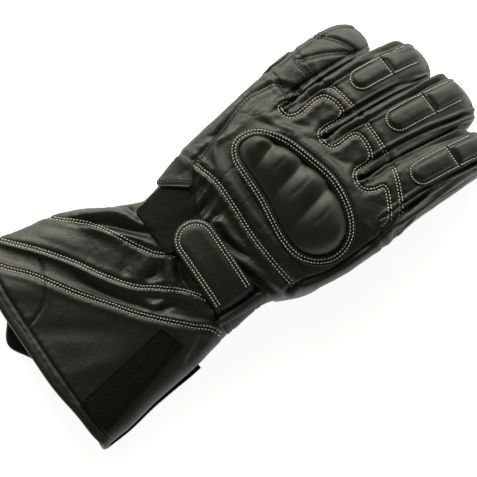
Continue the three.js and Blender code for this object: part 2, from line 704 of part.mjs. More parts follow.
put('cuff_front_panel', cuffFront, 'leather');
put('cuff_bellows_panel', cuffBellows, 'leather');
put('cuff_middle_panel', cuffMiddle, 'leather');
put('wrist_panel', wristPanel, 'leather');
put('back_panel', backPanel, 'leather');
put('outer_side_panel', outerSide, 'leather');
put('finger_yoke', yoke, 'leather');
put('cuff_palm_panel', cuffPalm, 'leather');
put('palm_panel', palmPanel, 'leather');
put('hem_binding', hemBinding(), 'leather');
put('closure_flap', closureFlap(), 'leather');
fingers.forEach((name, index) => put(`${name}_finger`, fingerTube(name, index), 'leather'));
Object.keys(FINGER_BACKS).forEach((name) => put(`${name}_finger_back`, fingerBack(name), 'leather'));
for (const pad of FINGER_PADS) {
  for (const part of ['base', 'tip']) put(`${pad.finger}_${part}_pad`, fingerPad(pad, part), 'leather');
}
const thumb = thumbOuter.subtract(thumbInner).subtract(formBody(hand, GAP)).intersect(aboveFloor);
put('thumb', thumb, 'leather');
put('knuckle_guard', guardBody(), 'guard');
put('guard_trim', guardTrim(), 'leather');
put('wrist_loop_patch', patch(plainHand, PATCH_LOW, WRIST_PATCH), 'loop');
put('strap_end_tab', patch(plainHand, STRAP_LOW, END_TAB), 'leather');
put('wrist_strap', strapBody(), 'leather');
put('strap_keeper', keeperBody(), 'stretch');
put('outer_side_pad', sidePad(), 'leather');
put('cuff_loop_patch', patch(hand, GAP, CUFF_PATCH), 'loop');

// The origin is under the middle of the glove's box, on the surface it lies on
const box = new THREE.Box3().setFromObject(group);
const middle = box.getCenter(new THREE.Vector3());
group.position.set(-middle.x, -middle.y, -box.min.z);
group.updateMatrixWorld(true);

export default group;
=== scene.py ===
# %% [markdown]
# # A padded leather gauntlet glove
# The glove lies palm down with its fingers closed to the tips and a wide cuff over the forearm.
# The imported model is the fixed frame: every piece below lies where its solid lies, and only the looks
# are made here. Lengths are in millimetres until a mesh is written, because a glove maker thinks in them.

# %% Load the frame
import math

import bpy
import numpy as np
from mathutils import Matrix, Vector
from mathutils import noise
from mathutils.bvhtree import BVHTree


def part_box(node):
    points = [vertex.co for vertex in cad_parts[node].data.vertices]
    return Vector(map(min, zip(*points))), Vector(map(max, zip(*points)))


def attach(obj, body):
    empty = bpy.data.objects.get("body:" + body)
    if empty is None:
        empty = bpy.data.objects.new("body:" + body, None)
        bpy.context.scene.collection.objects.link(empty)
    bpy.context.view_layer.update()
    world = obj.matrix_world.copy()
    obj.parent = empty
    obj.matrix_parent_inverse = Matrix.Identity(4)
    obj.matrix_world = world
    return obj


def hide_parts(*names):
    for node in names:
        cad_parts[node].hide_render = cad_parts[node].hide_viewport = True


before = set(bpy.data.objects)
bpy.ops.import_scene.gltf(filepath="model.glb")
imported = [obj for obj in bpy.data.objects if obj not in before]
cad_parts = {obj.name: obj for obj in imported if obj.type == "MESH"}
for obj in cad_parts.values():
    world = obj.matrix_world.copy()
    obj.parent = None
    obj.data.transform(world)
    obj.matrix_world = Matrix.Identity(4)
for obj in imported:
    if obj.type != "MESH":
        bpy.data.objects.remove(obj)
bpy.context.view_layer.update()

MM = 0.001
STRAP = {"tip_x": 3.0, "y": -37.5, "half": 13.2, "root_x": 18.0}
KEEPER = {"from_x": 46.5, "to_x": 52.0}
# The tables below are drawn in the pattern's own frame, and two straight edges say how far it was moved.
SHIFT = np.array([
    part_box("strap_keeper")[0].x / MM - KEEPER["from_x"],
    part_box("wrist_strap")[0].y / MM - (STRAP["y"] - STRAP["half"]),
    0.0,
])
print("nodes", len(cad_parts), "pattern moved by", SHIFT.round(3))

# %% [markdown]
# ## The camera
# The photograph looks steeply down on the glove from its thumb side with a long lens, so the camera
# stands at 75 degrees above the floor, far away, and sees 286 mm of the floor across the picture.

# %% Set up the camera
VIEW_AZIMUTH = math.radians(55.8)
VIEW_ELEVATION = math.radians(75)
VIEW_WIDTH = 0.2862
VIEW_CENTRE = Vector((0.0073, -0.0087, 0.0))
LENS = 250.0
SENSOR = 36.0
FOCUS_HEIGHT = 0.025

back = Vector((
    math.sin(VIEW_AZIMUTH) * math.cos(VIEW_ELEVATION),
    -math.cos(VIEW_AZIMUTH) * math.cos(VIEW_ELEVATION),
    math.sin(VIEW_ELEVATION),
))
stand_off = VIEW_WIDTH * LENS / SENSOR + FOCUS_HEIGHT / math.sin(VIEW_ELEVATION)
camera_data = bpy.data.cameras.new("camera")
camera_data.lens = LENS
camera_data.sensor_width = SENSOR
camera_data.clip_end = 20.0
camera = bpy.data.objects.new("camera", camera_data)
camera.location = VIEW_CENTRE + back * stand_off
camera.rotation_euler = back.to_track_quat("Z", "Y").to_euler()
bpy.context.scene.collection.objects.link(camera)
bpy.context.scene.camera = camera
print("camera stands", round(stand_off, 3), "m away")

# %% [markdown]
# ## The pattern's tables
# The hand, the fingers and the thumb are rounded tubes. Each row gives the place along the glove and the
# left, right, lowest and highest edge of the tube there, the same rows that the solids are lofted through.

# %% Cross-sections of the hand, the fingers and the thumb
# y, left, right, low, top
HAND = {"rows": [
    (-162, -77.5, 72.5, -1.6, 33), (-145, -75, 70.5, -1.6, 34), (-129, -71.5, 69, -1.6, 35),
    (-111, -68, 65.5, -1.4, 36.5), (-95, -64.5, 63.5, -0.6, 38.5), (-80, -58, 62, 1.2, 41),
    (-67, -49.5, 59.8, 3.5, 43), (-54, -43, 56.8, 5.5, 44), (-42, -41, 53.8, 7, 44.5),
    (-30, -44, 52.5, 8.5, 45.5), (-16, -50, 55.2, 10.5, 47.5), (-5, -53, 60, 13, 50),
    (8, -55, 64.5, 16, 52), (22, -56.5, 67.2, 19, 53.5), (38, -59, 67.6, 21, 54),
    (54, -61.5, 66.8, 22.5, 52.5), (68, -63.5, 65.5, 23.5, 50.5), (84, -65, 63.5, 24, 48),
]}
DIGITS = {
    "little": {"tip": 126, "round": 15, "rows": [
        (44, -60.5, -37, 23, 44), (60, -63, -37.5, 21.5, 45), (79, -65.8, -40, 17, 42.5),
        (97, -68.6, -41.2, 10, 36.5), (111, -69, -41.4, 0.5, 29.5), (124, -68, -41.4, -5, 22),
    ]},
    "ring": {"tip": 149, "round": 17, "rows": [
        (44, -35, -7, 24, 49.5), (58, -35.5, -7.6, 23.5, 50.5), (75, -37, -8, 22, 49.5),
        (95, -38.4, -8.2, 18.5, 46), (116, -39.6, -7.9, 11.5, 39), (131, -39.4, -7.6, 1.5, 31),
        (147, -38.6, -7.4, -5, 22),
    ]},
    "middle": {"tip": 157, "round": 15, "rows": [
        (46, -4.6, 24.6, 24.5, 50.5), (64, -4.8, 25, 24, 51.5), (80, -5.4, 25.6, 22.5, 50.5),
        (98, -6.1, 26.2, 19, 47.5), (118, -6.7, 27.2, 12.5, 41), (137, -6.8, 28, 2, 31.5),
        (155, -6.8, 28.2, -5, 22),
    ]},
    "index": {"tip": 148.5, "round": 16, "rows": [
        (50, 27.5, 66, 24.5, 49), (66, 28, 65, 24, 50), (80, 28.4, 63.6, 22.5, 49),
        (94, 28.8, 62.8, 19.5, 46.5), (112, 29.7, 60.8, 13.5, 41), (130, 30.8, 58.5, 3, 32.5),
        (149, 31.6, 57, -5, 22),
    ]},
    "thumb": {"tip": 82, "round": 14, "rows": [
        (-16, 34, 55, 14, 36), (2, 30, 60.5, 6.5, 33), (20, 27, 60, 1, 27),
        (40, 23, 53.5, -1.5, 21.5), (60, 20.5, 49.5, -1.5, 20), (82, 20, 47.5, -1.5, 18.5),
    ]},
}
FINGERS = ["little", "ring", "middle", "index"]
SQUARENESS = 2.35
FINGER_SQUARENESS = 2.9     # turned leather is flatter on a finger's back and sides than on the hand
DOME_POWER = 2.4            # a fingertip's dome is a little fuller than a ball
RIM = 0.995                 # how far out across the back a height is still read
WALL = 2.2
LEFT, RIGHT, LOW, TOP = 1, 2, 3, 4


def along_table(rows, y, column):
    """Smooth values between a table's rows."""
    table = np.array(rows, float)
    places, values = table[:, 0], table[:, column]
    slopes = np.gradient(values)
    slopes[1:-1] = (values[2:] - values[:-2]) / (places[2:] - places[:-2])
    slopes[0] = (values[1] - values[0]) / (places[1] - places[0])
    slopes[-1] = (values[-1] - values[-2]) / (places[-1] - places[-2])
    k = np.clip(np.searchsorted(places, y, side="right") - 1, 0, len(places) - 2)
    span = places[k + 1] - places[k]
    t = np.clip((y - places[k]) / span, 0, 1)
    start = (1 + 2 * t) * (1 - t) ** 2 * values[k] + t * (1 - t) ** 2 * span * slopes[k]
    end = t ** 2 * (3 - 2 * t) * values[k + 1] + t ** 2 * (t - 1) * span * slopes[k + 1]
    return start + end


def section(form, y, grow=0.0):
    """Centre and half sizes of a tube's rounded section, with the tip closing like a dome."""
    left, right = along_table(form["rows"], y, LEFT), along_table(form["rows"], y, RIGHT)
    low, top = along_table(form["rows"], y, LOW), along_table(form["rows"], y, TOP)
    close = 1.0
    if "tip" in form:
        reach = form["round"] + grow
        into = np.clip((y - form["tip"] - grow + reach) / reach, 0, 1)
        close = (1 - into ** DOME_POWER) ** (1 / DOME_POWER)
    half_x = ((right - left) / 2 + grow) * close
    half_z = ((top - low) / 2 + grow) * close
    return (left + right) / 2, (low + top) / 2, half_x, half_z


def around(form, y, angle, grow=0.0):
    """Points of a tube's surface at places y and angles, 0 at the thumb side and a quarter turn on top."""
    x, z, half_x, half_z = section(form, y, grow)
    c, s = np.cos(angle), np.sin(angle)
    power = 2 / (FINGER_SQUARENESS if "tip" in form else SQUARENESS)
    return np.stack([
        x + half_x * np.sign(c) * np.abs(c) ** power,
        y + 0 * c,
        z + half_z * np.sign(s) * np.abs(s) ** power,
    ], -1)


def top_height(x, y, grow=0.0):
    """Height of the back of the hand and cuff over a point seen from above."""
    middle, z, half_x, half_z = section(HAND, y, grow)
    across = np.minimum(np.abs(x - middle) / half_x, RIM)
    return z + half_z * (1 - across ** SQUARENESS) ** (1 / SQUARENESS)


print("hand", section(HAND, np.array(38.0)))

# %% [markdown]
# ## The seams
# Every seam is a line drawn on the back of the glove as seen from above. A smooth curve through a few
# points gives it the sweep of a cutting pattern, and points at even steps along it carry the stitches.

# %% Lines of the pattern
CUFF_LINE_3 = [(-80, -155), (-55, -141), (-37, -127), (-14, -113), (4, -100), (23, -86), (42, -68), (53, -56),
               (80, -44)]
CUFF_LINE_2 = [(-80, -137), (-65, -128), (-49, -116), (-31, -104), (-13, -94), (4, -82), (15, -69), (34, -52),
               (80, -36)]
CUFF_LINE_1 = [(-80, -108), (-60, -96), (-45, -82), (-29, -74), (-15, -67), (-5, -61), (6, -50), (34, -36),
               (80, -30)]
WRIST_LINE = [(-80, -20), (-35, -10), (-20, -7), (-2, -7), (17, -8), (34, -7), (49, -5), (63, -2), (80, 2)]
CROTCH_LINE = [(-90, 64), (-58, 60), (-36.5, 55.5), (-22, 59), (-6.3, 65.5), (10, 68), (26.7, 70), (46, 76),
               (90, 84)]
ZIGZAG = [(-90, 59), (-41, 58.5), (-39.5, 52), (-35, 49.5), (-29, 51), (-27, 57), (-28, 76), (-13, 79.5),
          (-11.5, 64), (-8, 59.5), (-2, 59.5), (2.5, 64), (3, 79), (19, 78), (21, 66), (26, 61.5), (33, 62),
          (37.5, 68), (39, 74), (48, 71), (57, 65), (62, 56), (90, 52)]
BASE_LINE = [(-90, 80), (-36, 80), (-30, 84), (-9, 87.5), (2, 87.5), (23, 87), (33, 85), (45, 80.5),
             (57, 73.5), (64, 64), (90, 50)]
BACK_EDGE = [(80, -200), (80, -20), (58, -12), (57, 0), (61, 14), (62.5, 30), (61.5, 52), (60, 66), (56, 90),
             (54, 110), (52, 170)]
SIDE_PANEL = [(-90, -8), (-39, -8), (-43, 6), (-51, 28), (-54, 39), (-53, 48), (-50, 57), (-44.5, 63),
              (-42, 70), (-44, 77), (-57, 76.5), (-55.5, 85), (-51, 98), (-47, 112), (-55, 108), (-62, 102),
              (-66, 96.5), (-90, 90)]
FINGER_BACKS = {
    "ring": [(-33, 70), (-32.6, 88), (-34, 108), (-33, 123), (-31.5, 135), (-30.5, 160), (-10.5, 160),
             (-9.8, 135), (-11, 116), (-11, 70)],
    "middle": [(-2.5, 70), (-1, 84), (-0.5, 100), (-1, 120), (-3, 137), (-3.5, 170), (25, 170), (23.4, 137),
               (22, 120), (21, 95), (20.6, 70)],
    "index": [(30.5, 60), (30.5, 88), (31.3, 109), (32.5, 129), (34, 160), (53.5, 160), (53, 110), (52.5, 92),
              (54, 60)],
}
SPLITS = [
    [(-36.4, 40), (-37, 60), (-40.5, 110), (-40.6, 200)],
    [(-6.3, 40), (-6.4, 60), (-7.3, 130), (-7.2, 200)],
    [(26.3, 40), (26.6, 60), (28.5, 110), (29.6, 200)],
]
# y, height of the seam between the back and the palm leather
SIDE_SEAM = np.array([(-200, 16), (-120, 17), (-60, 24), (-20, 28), (20, 35), (60, 36), (95, 32), (125, 22),
                      (160, 9)], float)
HEM_Y = -156.0
HEM_BULGE = 7.0
HEM_HALF_WIDTH = 75.0
HEM_BAND = 5.5
HEM_TOP = 33.0
HEM_DRAWN = 5.5             # the underside's edge lies this much further in than the back's
HEM_LOOSE = {"out": 10.5, "x": -18.0, "width": 13.0}
HEM_CORNER = 60.0
PALM_SEAM_Y = -48.0


def bell(distance, width):
    """1 in the middle, falling off softly on both sides."""
    return np.exp(-(distance / width) ** 2)


def step_up(value, softness):
    """From 0 to 1 where the value passes 0."""
    return 1 / (1 + np.exp(-np.clip(value / softness, -40, 40)))


def rolled(edge, width):
    """A quarter circle's rise from 0 at an edge to 1 at this width from it."""
    return np.sqrt(np.clip(1 - (1 - np.clip(edge / width, 0, 1)) ** 2, 0, 1))


def tapered(along, length):
    """1 in the middle of a line, falling to nearly 0 at its ends."""
    return np.sqrt(np.sin(math.pi * np.clip(along / length, 0.02, 0.98)))


def hem_y(x, z=HEM_TOP):
    """The open end's edge: its underside is drawn back, apart from one loose bulge."""
    under = step_up(HEM_TOP / 2 - z, 2.0)
    drawn = HEM_DRAWN - HEM_LOOSE["out"] * bell(x - HEM_LOOSE["x"], HEM_LOOSE["width"])
    bulge = HEM_BULGE * (x / HEM_HALF_WIDTH) ** 2
    return HEM_Y + bulge + under * drawn * step_up(HEM_CORNER - np.abs(x), 5.0)


def even(points, spacing, closed=False):
    """Points at even steps along a line."""
    line = np.array(points, float)
    if closed:
        line = np.vstack([line, line[:1]])
    lengths = np.concatenate([[0], np.cumsum(np.hypot(*np.diff(line, axis=0)[:, :2].T))])
    count = max(int(round(lengths[-1] / spacing)), 2)
    places = np.linspace(0, lengths[-1], count + 1)
    if closed:
        places = places[:-1]
    return np.stack([np.interp(places, lengths, line[:, k]) for k in range(line.shape[1])], -1)


def curve(points, spacing=1.5, closed=False):
    """A smooth curve through points, cut into even steps."""
    line = np.array(points, float)
    line = np.vstack([line[-1], line, line[:2]]) if closed else np.vstack([line[0], line, line[-1]])
    t = np.linspace(0, 1, 12, endpoint=False)[:, None]
    bits = []
    for a, b, c, d in zip(line[:-3], line[1:-2], line[2:-1], line[3:]):
        bits.append(0.5 * (2 * b + (c - a) * t + (2 * a - 5 * b + 4 * c - d) * t ** 2
                           + (3 * b - a - 3 * c + d) * t ** 3))
    if not closed:
        bits.append(line[-2:-1])
    return even(np.vstack(bits), spacing, closed)


def beside(line, distance, closed=False):
    """The line moved sideways, to the left of its direction when the distance is positive."""
    if closed:
        step = np.roll(line, -1, 0) - np.roll(line, 1, 0)
    else:
        step = np.gradient(line, axis=0)
    step = step / np.hypot(step[:, 0], step[:, 1])[:, None]
    return line + np.stack([-step[:, 1], step[:, 0]], -1) * distance


def within(outline, x, y):
    """Which points lie inside a closed outline."""
    corners = np.array(outline, float)
    result = np.zeros(np.shape(x), bool)
    for (ax, ay), (bx, by) in zip(corners, np.roll(corners, -1, 0)):
        if ay == by:
            continue
        crosses = (ay > y) != (by > y)
        result ^= crosses & (x < ax + (y - ay) * (bx - ax) / (by - ay))
    return result


def beyond(line, x, y):
    """Which points lie on the fingertips' side of a line that runs across the glove."""
    edge = [tuple(p) for p in line]
    return within([(-120, edge[0][1])] + edge + [(120, edge[-1][1]), (120, 260), (-120, 260)], x, y)


def measured(line, x, y, reach, closed=False):
    """Distance of each point to a line, signed to its left, and how far along the line that is."""
    line = np.vstack([line, line[:1]]) if closed else line
    signed = np.full(x.shape, reach * 3.0)
    along = np.zeros(x.shape)
    low, high = line.min(0) - reach, line.max(0) + reach
    near = np.flatnonzero((x > low[0]) & (x < high[0]) & (y > low[1]) & (y < high[1]))
    px, py = x[near], y[near]
    best, side, place, start = np.full(px.shape, reach * 3.0), np.ones(px.shape), np.zeros(px.shape), 0.0
    for a, b in zip(line[:-1], line[1:]):
        step = b - a
        length = math.hypot(*step)
        t = np.clip(((px - a[0]) * step[0] + (py - a[1]) * step[1]) / length ** 2, 0, 1)
        away = np.hypot(px - a[0] - t * step[0], py - a[1] - t * step[1])
        turn = np.sign(step[0] * (py - a[1]) - step[1] * (px - a[0]))
        closer = away < best
        best = np.where(closer, away, best)
        side = np.where(closer, turn, side)
        place = np.where(closer, start + t * length, place)
        start += length
    signed[near] = best * np.where(side == 0, 1, side)
    along[near] = place
    return signed, along, start


print("zigzag seam", len(curve(ZIGZAG)), "steps")

# %% [markdown]
# ## Meshes from arrays
# Most pieces are grids of points: rows along the piece and columns across it. A sheet of leather is a top
# grid and a bottom grid joined round the border, so it is one closed body with a real thickness.

# %% Helpers that write meshes
def mesh_of(name, points, faces):
    mesh = bpy.data.meshes.new(name)
    faces = np.ascontiguousarray(faces, np.int32)
    count, corners = faces.shape
    mesh.vertices.add(len(points))
    mesh.vertices.foreach_set("co", ((np.asarray(points) + SHIFT) * MM).astype(np.float32).ravel())
    mesh.loops.add(count * corners)
    mesh.loops.foreach_set("vertex_index", faces.ravel())
    mesh.polygons.add(count)
    mesh.polygons.foreach_set("loop_start", np.arange(0, count * corners, corners, dtype=np.int32))
    mesh.update(calc_edges=True)
    mesh.polygons.foreach_set("use_smooth", np.ones(count, bool))
    return mesh


def put(name, points, faces, material=None):
    obj = bpy.data.objects.new(name, mesh_of(name, points, faces))
    bpy.context.scene.collection.objects.link(obj)
    if material:
        obj.data.materials.append(material)
    return obj


def dressed(obj, node):
    """The piece stays with the body and stands for this node of the frame."""
    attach(obj, "root")
    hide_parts(node)
    return obj


def grid_faces(rows, columns, wrap_rows=False, wrap_columns=False):
    i = np.arange(rows if wrap_rows else rows - 1)
    j = np.arange(columns if wrap_columns else columns - 1)
    i, j = [a.ravel() for a in np.meshgrid(i, j, indexing="ij")]
    n, m = (i + 1) % rows, (j + 1) % columns
    return np.stack([i * columns + j, n * columns + j, n * columns + m, i * columns + m], -1)


def triangles(quads):
    return np.vstack([quads[:, [0, 1, 2]], quads[:, [0, 2, 3]]])


def unit(vectors):
    return vectors / np.linalg.norm(vectors, axis=-1, keepdims=True)


def normals_of(points, faces):
    """Average of the faces' normals at each point."""
    p = points[faces]
    face = np.cross(p[:, 2] - p[:, 0], p[:, -1] - p[:, 1])
    total = np.stack([
        sum(np.bincount(faces[:, k], face[:, axis], len(points)) for k in range(faces.shape[1]))
        for axis in range(3)
    ], -1)
    return total / np.maximum(np.linalg.norm(total, axis=1), 1e-12)[:, None]


def relaxed(values, faces, rounds, share=0.5):
    """Each point's value moved towards the average of its neighbours."""
    ends = [(faces[:, k], faces[:, (k + 1) % faces.shape[1]]) for k in range(faces.shape[1])]
    a = np.concatenate([e[0] for e in ends] + [e[1] for e in ends])
    b = np.concatenate([e[1] for e in ends] + [e[0] for e in ends])
    count = np.maximum(np.bincount(a, minlength=len(values)), 1)
    for _ in range(rounds):
        sums = [np.bincount(a, values[b, k], len(values)) for k in range(values.shape[1])]
        values = values + share * (np.stack(sums, -1) / count[:, None] - values)
    return values


def sheet_body(top, bottom):
    """Points and faces of a closed sheet between two grids of the same shape."""
    rows, columns = top.shape[:2]
    offset = rows * columns
    upper = grid_faces(rows, columns)
    index = np.arange(offset).reshape(rows, columns)
    border = np.concatenate([index[0, :-1], index[:-1, -1], index[-1, :0:-1], index[:0:-1, 0]])
    following = np.roll(border, -1)
    walls = np.stack([border, border + offset, following + offset, following], -1)
    faces = np.vstack([upper, upper[:, ::-1] + offset, walls[:, ::-1]])
    points = np.vstack([top.reshape(-1, 3), bottom.reshape(-1, 3)])
    return points, facing_out(points, faces)


def facing_out(points, faces):
    """Turns the faces round if the body's volume comes out negative."""
    p = points[faces]
    volume = np.einsum("ij,ij->", p[:, 0], np.cross(p[:, 1], p[:, 2]) + np.cross(p[:, 2], p[:, -1]))
    return faces if volume > 0 else faces[:, ::-1]


def hills(points, size, seed, octaves=2):
    """Soft even noise over points, from -1 to 1, whose hills are about size millimetres wide."""
    place = points / size + seed
    return np.array([noise.fractal(Vector(p), 1.0, 2.0, octaves) for p in place])


# %% [markdown]
# ## Materials
# Motorcycle gloves are cut from full-grain cowhide or goatskin, drum dyed black and lightly finished, so
# the surface is soft and semi-matte, with a fine pebble and creases where it has been bent. The guard is
# the same leather stretched smooth over a moulded shell. The closure patches are the looped half of a
# hook-and-loop tape, and the seams are sewn with a bonded polyester thread in off-white or black.

# %% Helpers for colours and nodes
def linear(code):
    """sRGB hex to the linear values that Blender uses."""
    parts = [int(code[k:k + 2], 16) / 255 for k in (1, 3, 5)]
    return tuple(c / 12.92 if c <= 0.04045 else ((c + 0.055) / 1.055) ** 2.4 for c in parts) + (1.0,)


def add(tree, kind, inputs=None, links=None, **settings):
    node = tree.nodes.new("ShaderNode" + kind)
    for key, value in settings.items():
        setattr(node, key, value)
    for key, value in (inputs or {}).items():
        node.inputs[key].default_value = value
    for key, socket in (links or {}).items():
        tree.links.new(socket, node.inputs[key])
    return node


def per_mm(size):
    """Texture scale at which one repeat is size millimetres wide."""
    return 1 / (size * MM)


def new_material(name):
    """A new material, its tree, its shader and the place on the object."""
    material = bpy.data.materials.new(name)
    material.use_nodes = True
    tree = material.node_tree
    return material, tree, tree.nodes["Principled BSDF"], add(tree, "TexCoord").outputs["Object"]


def set_sockets(shader, **values):
    """Numbers and colours that are the same all over; an underscore stands for the space in a name."""
    for key, value in values.items():
        shader.inputs[key.replace("_", " ")].default_value = value


# %% Leather
PEBBLE = 1.0        # grain cells, drawn about twice as coarse as real ones so that they show
CREASE = 9.0        # spacing of the fine wrinkles
TONE = 45.0         # patches where the dye took a little more or less
PEBBLE_DEPTH = 0.12
CREASE_DEPTH = 0.35


def leather(name, dark, light, roughness, grain, creases):
    """Dyed leather, whose grain and creases are as strong as these two numbers say."""
    material, tree, shader, place = new_material(name)
    patches = add(tree, "TexNoise", {"Scale": per_mm(TONE), "Detail": 4.0}, {"Vector": place})
    pebble = add(tree, "TexVoronoi", {"Scale": per_mm(PEBBLE), "Randomness": 1.0}, {"Vector": place},
                 feature="DISTANCE_TO_EDGE")
    folds = add(tree, "TexNoise", {"Scale": per_mm(CREASE), "Detail": 8.0, "Roughness": 0.62,
                                   "Distortion": 0.9}, {"Vector": place})
    ridge = add(tree, "Math", {1: 0.5}, {0: folds.outputs["Fac"]}, operation="SUBTRACT")
    ridge = add(tree, "Math", None, {0: ridge.outputs[0]}, operation="ABSOLUTE")
    ridge = add(tree, "Math", {1: 5.0}, {0: ridge.outputs[0]}, operation="MULTIPLY", use_clamp=True)
    gloss = add(tree, "MapRange", {"To Min": roughness - 0.06, "To Max": roughness + 0.09},
                {"Value": folds.outputs["Fac"]})
    coarse = add(tree, "Bump", {"Strength": creases, "Distance": CREASE_DEPTH * MM},
                 {"Height": ridge.outputs[0]})
    fine = add(tree, "Bump", {"Strength": grain, "Distance": PEBBLE_DEPTH * MM},
               {"Height": pebble.outputs["Distance"], "Normal": coarse.outputs["Normal"]})
    tone = add(tree, "ValToRGB", None, {"Fac": patches.outputs["Fac"]})
    for stop, (at, code) in zip(tone.color_ramp.elements, ((0.35, dark), (0.68, light))):
        stop.position = at
        stop.color = linear(code)
    tree.links.new(tone.outputs["Color"], shader.inputs["Base Color"])
    tree.links.new(gloss.outputs["Result"], shader.inputs["Roughness"])
    tree.links.new(fine.outputs["Normal"], shader.inputs["Normal"])
    set_sockets(shader, IOR=1.5, Sheen_Weight=0.03, Sheen_Roughness=0.5)
    return material


drum_dyed_leather = leather("drum_dyed_leather", "#10100b", "#191913", 0.44, 0.7, 0.28)
stretched_leather = leather("stretched_leather", "#181812", "#20201a", 0.48, 0.3, 0.1)
# Darker matte leather: the keeper's own leather, and also painted shade on the strap where it goes down into
# the slot
matte_leather_and_slot_shade = leather("matte_leather_and_slot_shade", "#090907", "#0f0f0c", 0.62, 0.5, 0.3)

# %% Looped tape and thread
LOOP_PITCH = 0.9    # loops of the tape, a little coarser than the real 0.5 mm
FUZZ = 0.5
TWIST = 1.0         # one turn of a bonded thread
BANDS = 3.15        # about so many bands lie in one repeat of the wave texture


def looped_tape():
    material, tree, shader, place = new_material("looped_nylon_tape")
    loops = add(tree, "TexVoronoi", {"Scale": per_mm(LOOP_PITCH)}, {"Vector": place})
    fuzz = add(tree, "TexNoise", {"Scale": per_mm(FUZZ), "Detail": 3.0}, {"Vector": place})
    relief = add(tree, "Bump", {"Strength": 0.9, "Distance": 0.4 * MM}, {"Height": loops.outputs["Distance"]})
    tone = add(tree, "ValToRGB", None, {"Fac": fuzz.outputs["Fac"]})
    for stop, (at, code) in zip(tone.color_ramp.elements, ((0.35, "#0f0f0d"), (0.75, "#292924"))):
        stop.position = at
        stop.color = linear(code)
    tree.links.new(tone.outputs["Color"], shader.inputs["Base Color"])
    tree.links.new(relief.outputs["Normal"], shader.inputs["Normal"])
    set_sockets(shader, Roughness=0.95, Specular_IOR_Level=0.12)
    return material


def thread(name, colour, shine=0.5):
    material, tree, shader, place = new_material(name)
    plies = add(tree, "TexWave", {"Scale": per_mm(BANDS * TWIST), "Distortion": 1.0}, {"Vector": place},
                bands_direction="DIAGONAL")
    relief = add(tree, "Bump", {"Strength": 0.4, "Distance": 0.08 * MM}, {"Height": plies.outputs["Fac"]})
    tree.links.new(relief.outputs["Normal"], shader.inputs["Normal"])
    set_sockets(shader, Base_Color=linear(colour), Roughness=0.55, Specular_IOR_Level=shine)
    return material


loop_tape = looped_tape()
pale_thread = thread("bonded_thread_off_white", "#ece9dc")
black_thread = thread("bonded_thread_black", "#080808", 0.15)
print("materials", len(bpy.data.materials))

# %% [markdown]
# ## The skin of the glove
# The leather of a glove is one continuous skin, sewn from panels that meet edge to edge. So the hand, the
# fingers and the thumb are lofted as tubes, fused into one skin by a voxel remesh, and smoothed, which
# gives the crotches between the fingers the soft rolled look of turned leather.

# %% Loft the tubes and fuse them
VOXEL = 1.2
HAND_STATION = 2.5
DIGIT_STATION = 2.0
DOME_RINGS, DOME_TURN = 18, 86      # rings over a fingertip, and the degrees of its dome that they cover
TUBE_SIDES = 96
CROTCH_START = 30.0
END_RINGS = 16
LEAN_FROM = 66.0
# The hand's tube ends along this line, which dips back between the fingers
HAND_END = [(-90, 64), (-58, 60), (-43, 56), (-36.6, 52.5), (-30, 55), (-14, 62), (-6.3, 61), (1, 63),
            (18, 67), (26.7, 64), (35, 69), (46, 76), (90, 84)]
TOUCH = 0.25            # neighbouring fingers press on each other by this much
# the hand is arched, so each finger's back leans this much, downhill to the little finger's side
ROLL = {"little": 0.12, "ring": 0.11, "middle": -0.03, "index": -0.17, "thumb": 0.0}

hand_end = np.array(HAND_END, float)


def tube(rings):
    """Points and triangles of a closed tube through rings, with a fan over each end."""
    count, sides = rings.shape[:2]
    points = np.vstack([rings.reshape(-1, 3), rings[0].mean(0), rings[-1].mean(0)])
    quads = grid_faces(count, sides, wrap_columns=True)
    i = np.arange(sides)
    j = (i + 1) % sides
    last = (count - 1) * sides
    fans = np.vstack([
        np.stack([i, j, np.full(sides, count * sides)], -1),
        np.stack([last + j, last + i, np.full(sides, count * sides + 1)], -1),
    ])
    return points, facing_out(points, np.vstack([triangles(quads), fans]))


def digit_rings(name):
    """Rings of a finger: it leans with the arched hand and is flat where its neighbours press on it."""
    form = DIGITS[name]
    shoulder = form["tip"] - form["round"]
    straight = np.arange(form["rows"][0][0], shoulder, DIGIT_STATION)
    dome = shoulder + form["round"] * np.sin(np.radians(np.linspace(0, DOME_TURN, DOME_RINGS)))
    places = np.concatenate([straight, dome])
    angle = np.linspace(0, 2 * math.pi, TUBE_SIDES, endpoint=False)
    rings = around(form, places[:, None], angle[None, :])
    if name not in FINGERS:
        return rings
    index = FINGERS.index(name)
    middle, level, half_x, half_z = section(form, places)
    lean = ROLL[name] * step_up(places - LEAN_FROM, 6.0)[:, None]
    rings[..., 2] += lean * (rings[..., 0] - middle[:, None]) * step_up(rings[..., 2] - level[:, None], 3.0)
    pressed_on = step_up(form["tip"] - 0.75 * form["round"] - places, 2.5)
    for side, split in ((-1, index - 1), (1, index)):
        if 0 <= split < len(SPLITS):
            line = np.array(SPLITS[split], float)
            edge = side * (np.interp(places, line[:, 1], line[:, 0]) - middle) + TOUCH
            stretch = 1 + pressed_on * (edge / half_x - 1)
            away = rings[..., 0] - middle[:, None]
            rings[..., 0] = middle[:, None] + away * np.where(away * side > 0, stretch[:, None], 1)
    return rings


def hand_rings():
    """Rings of the hand, of which the last ones lean until they follow the line of the crotches."""
    angle = np.linspace(0, 2 * math.pi, 2 * TUBE_SIDES, endpoint=False)
    straight = np.arange(-162.0, CROTCH_START, HAND_STATION)
    rings = [around(HAND, np.full(angle.shape, y), angle) for y in straight]
    for share in np.linspace(0, 1, END_RINGS):
        y = np.full(angle.shape, CROTCH_START)
        for _ in range(4):
            ring = around(HAND, y, angle)
            y = CROTCH_START + share * (np.interp(ring[:, 0], *hand_end.T) - CROTCH_START)
        rings.append(around(HAND, y, angle))
    return np.array(rings)


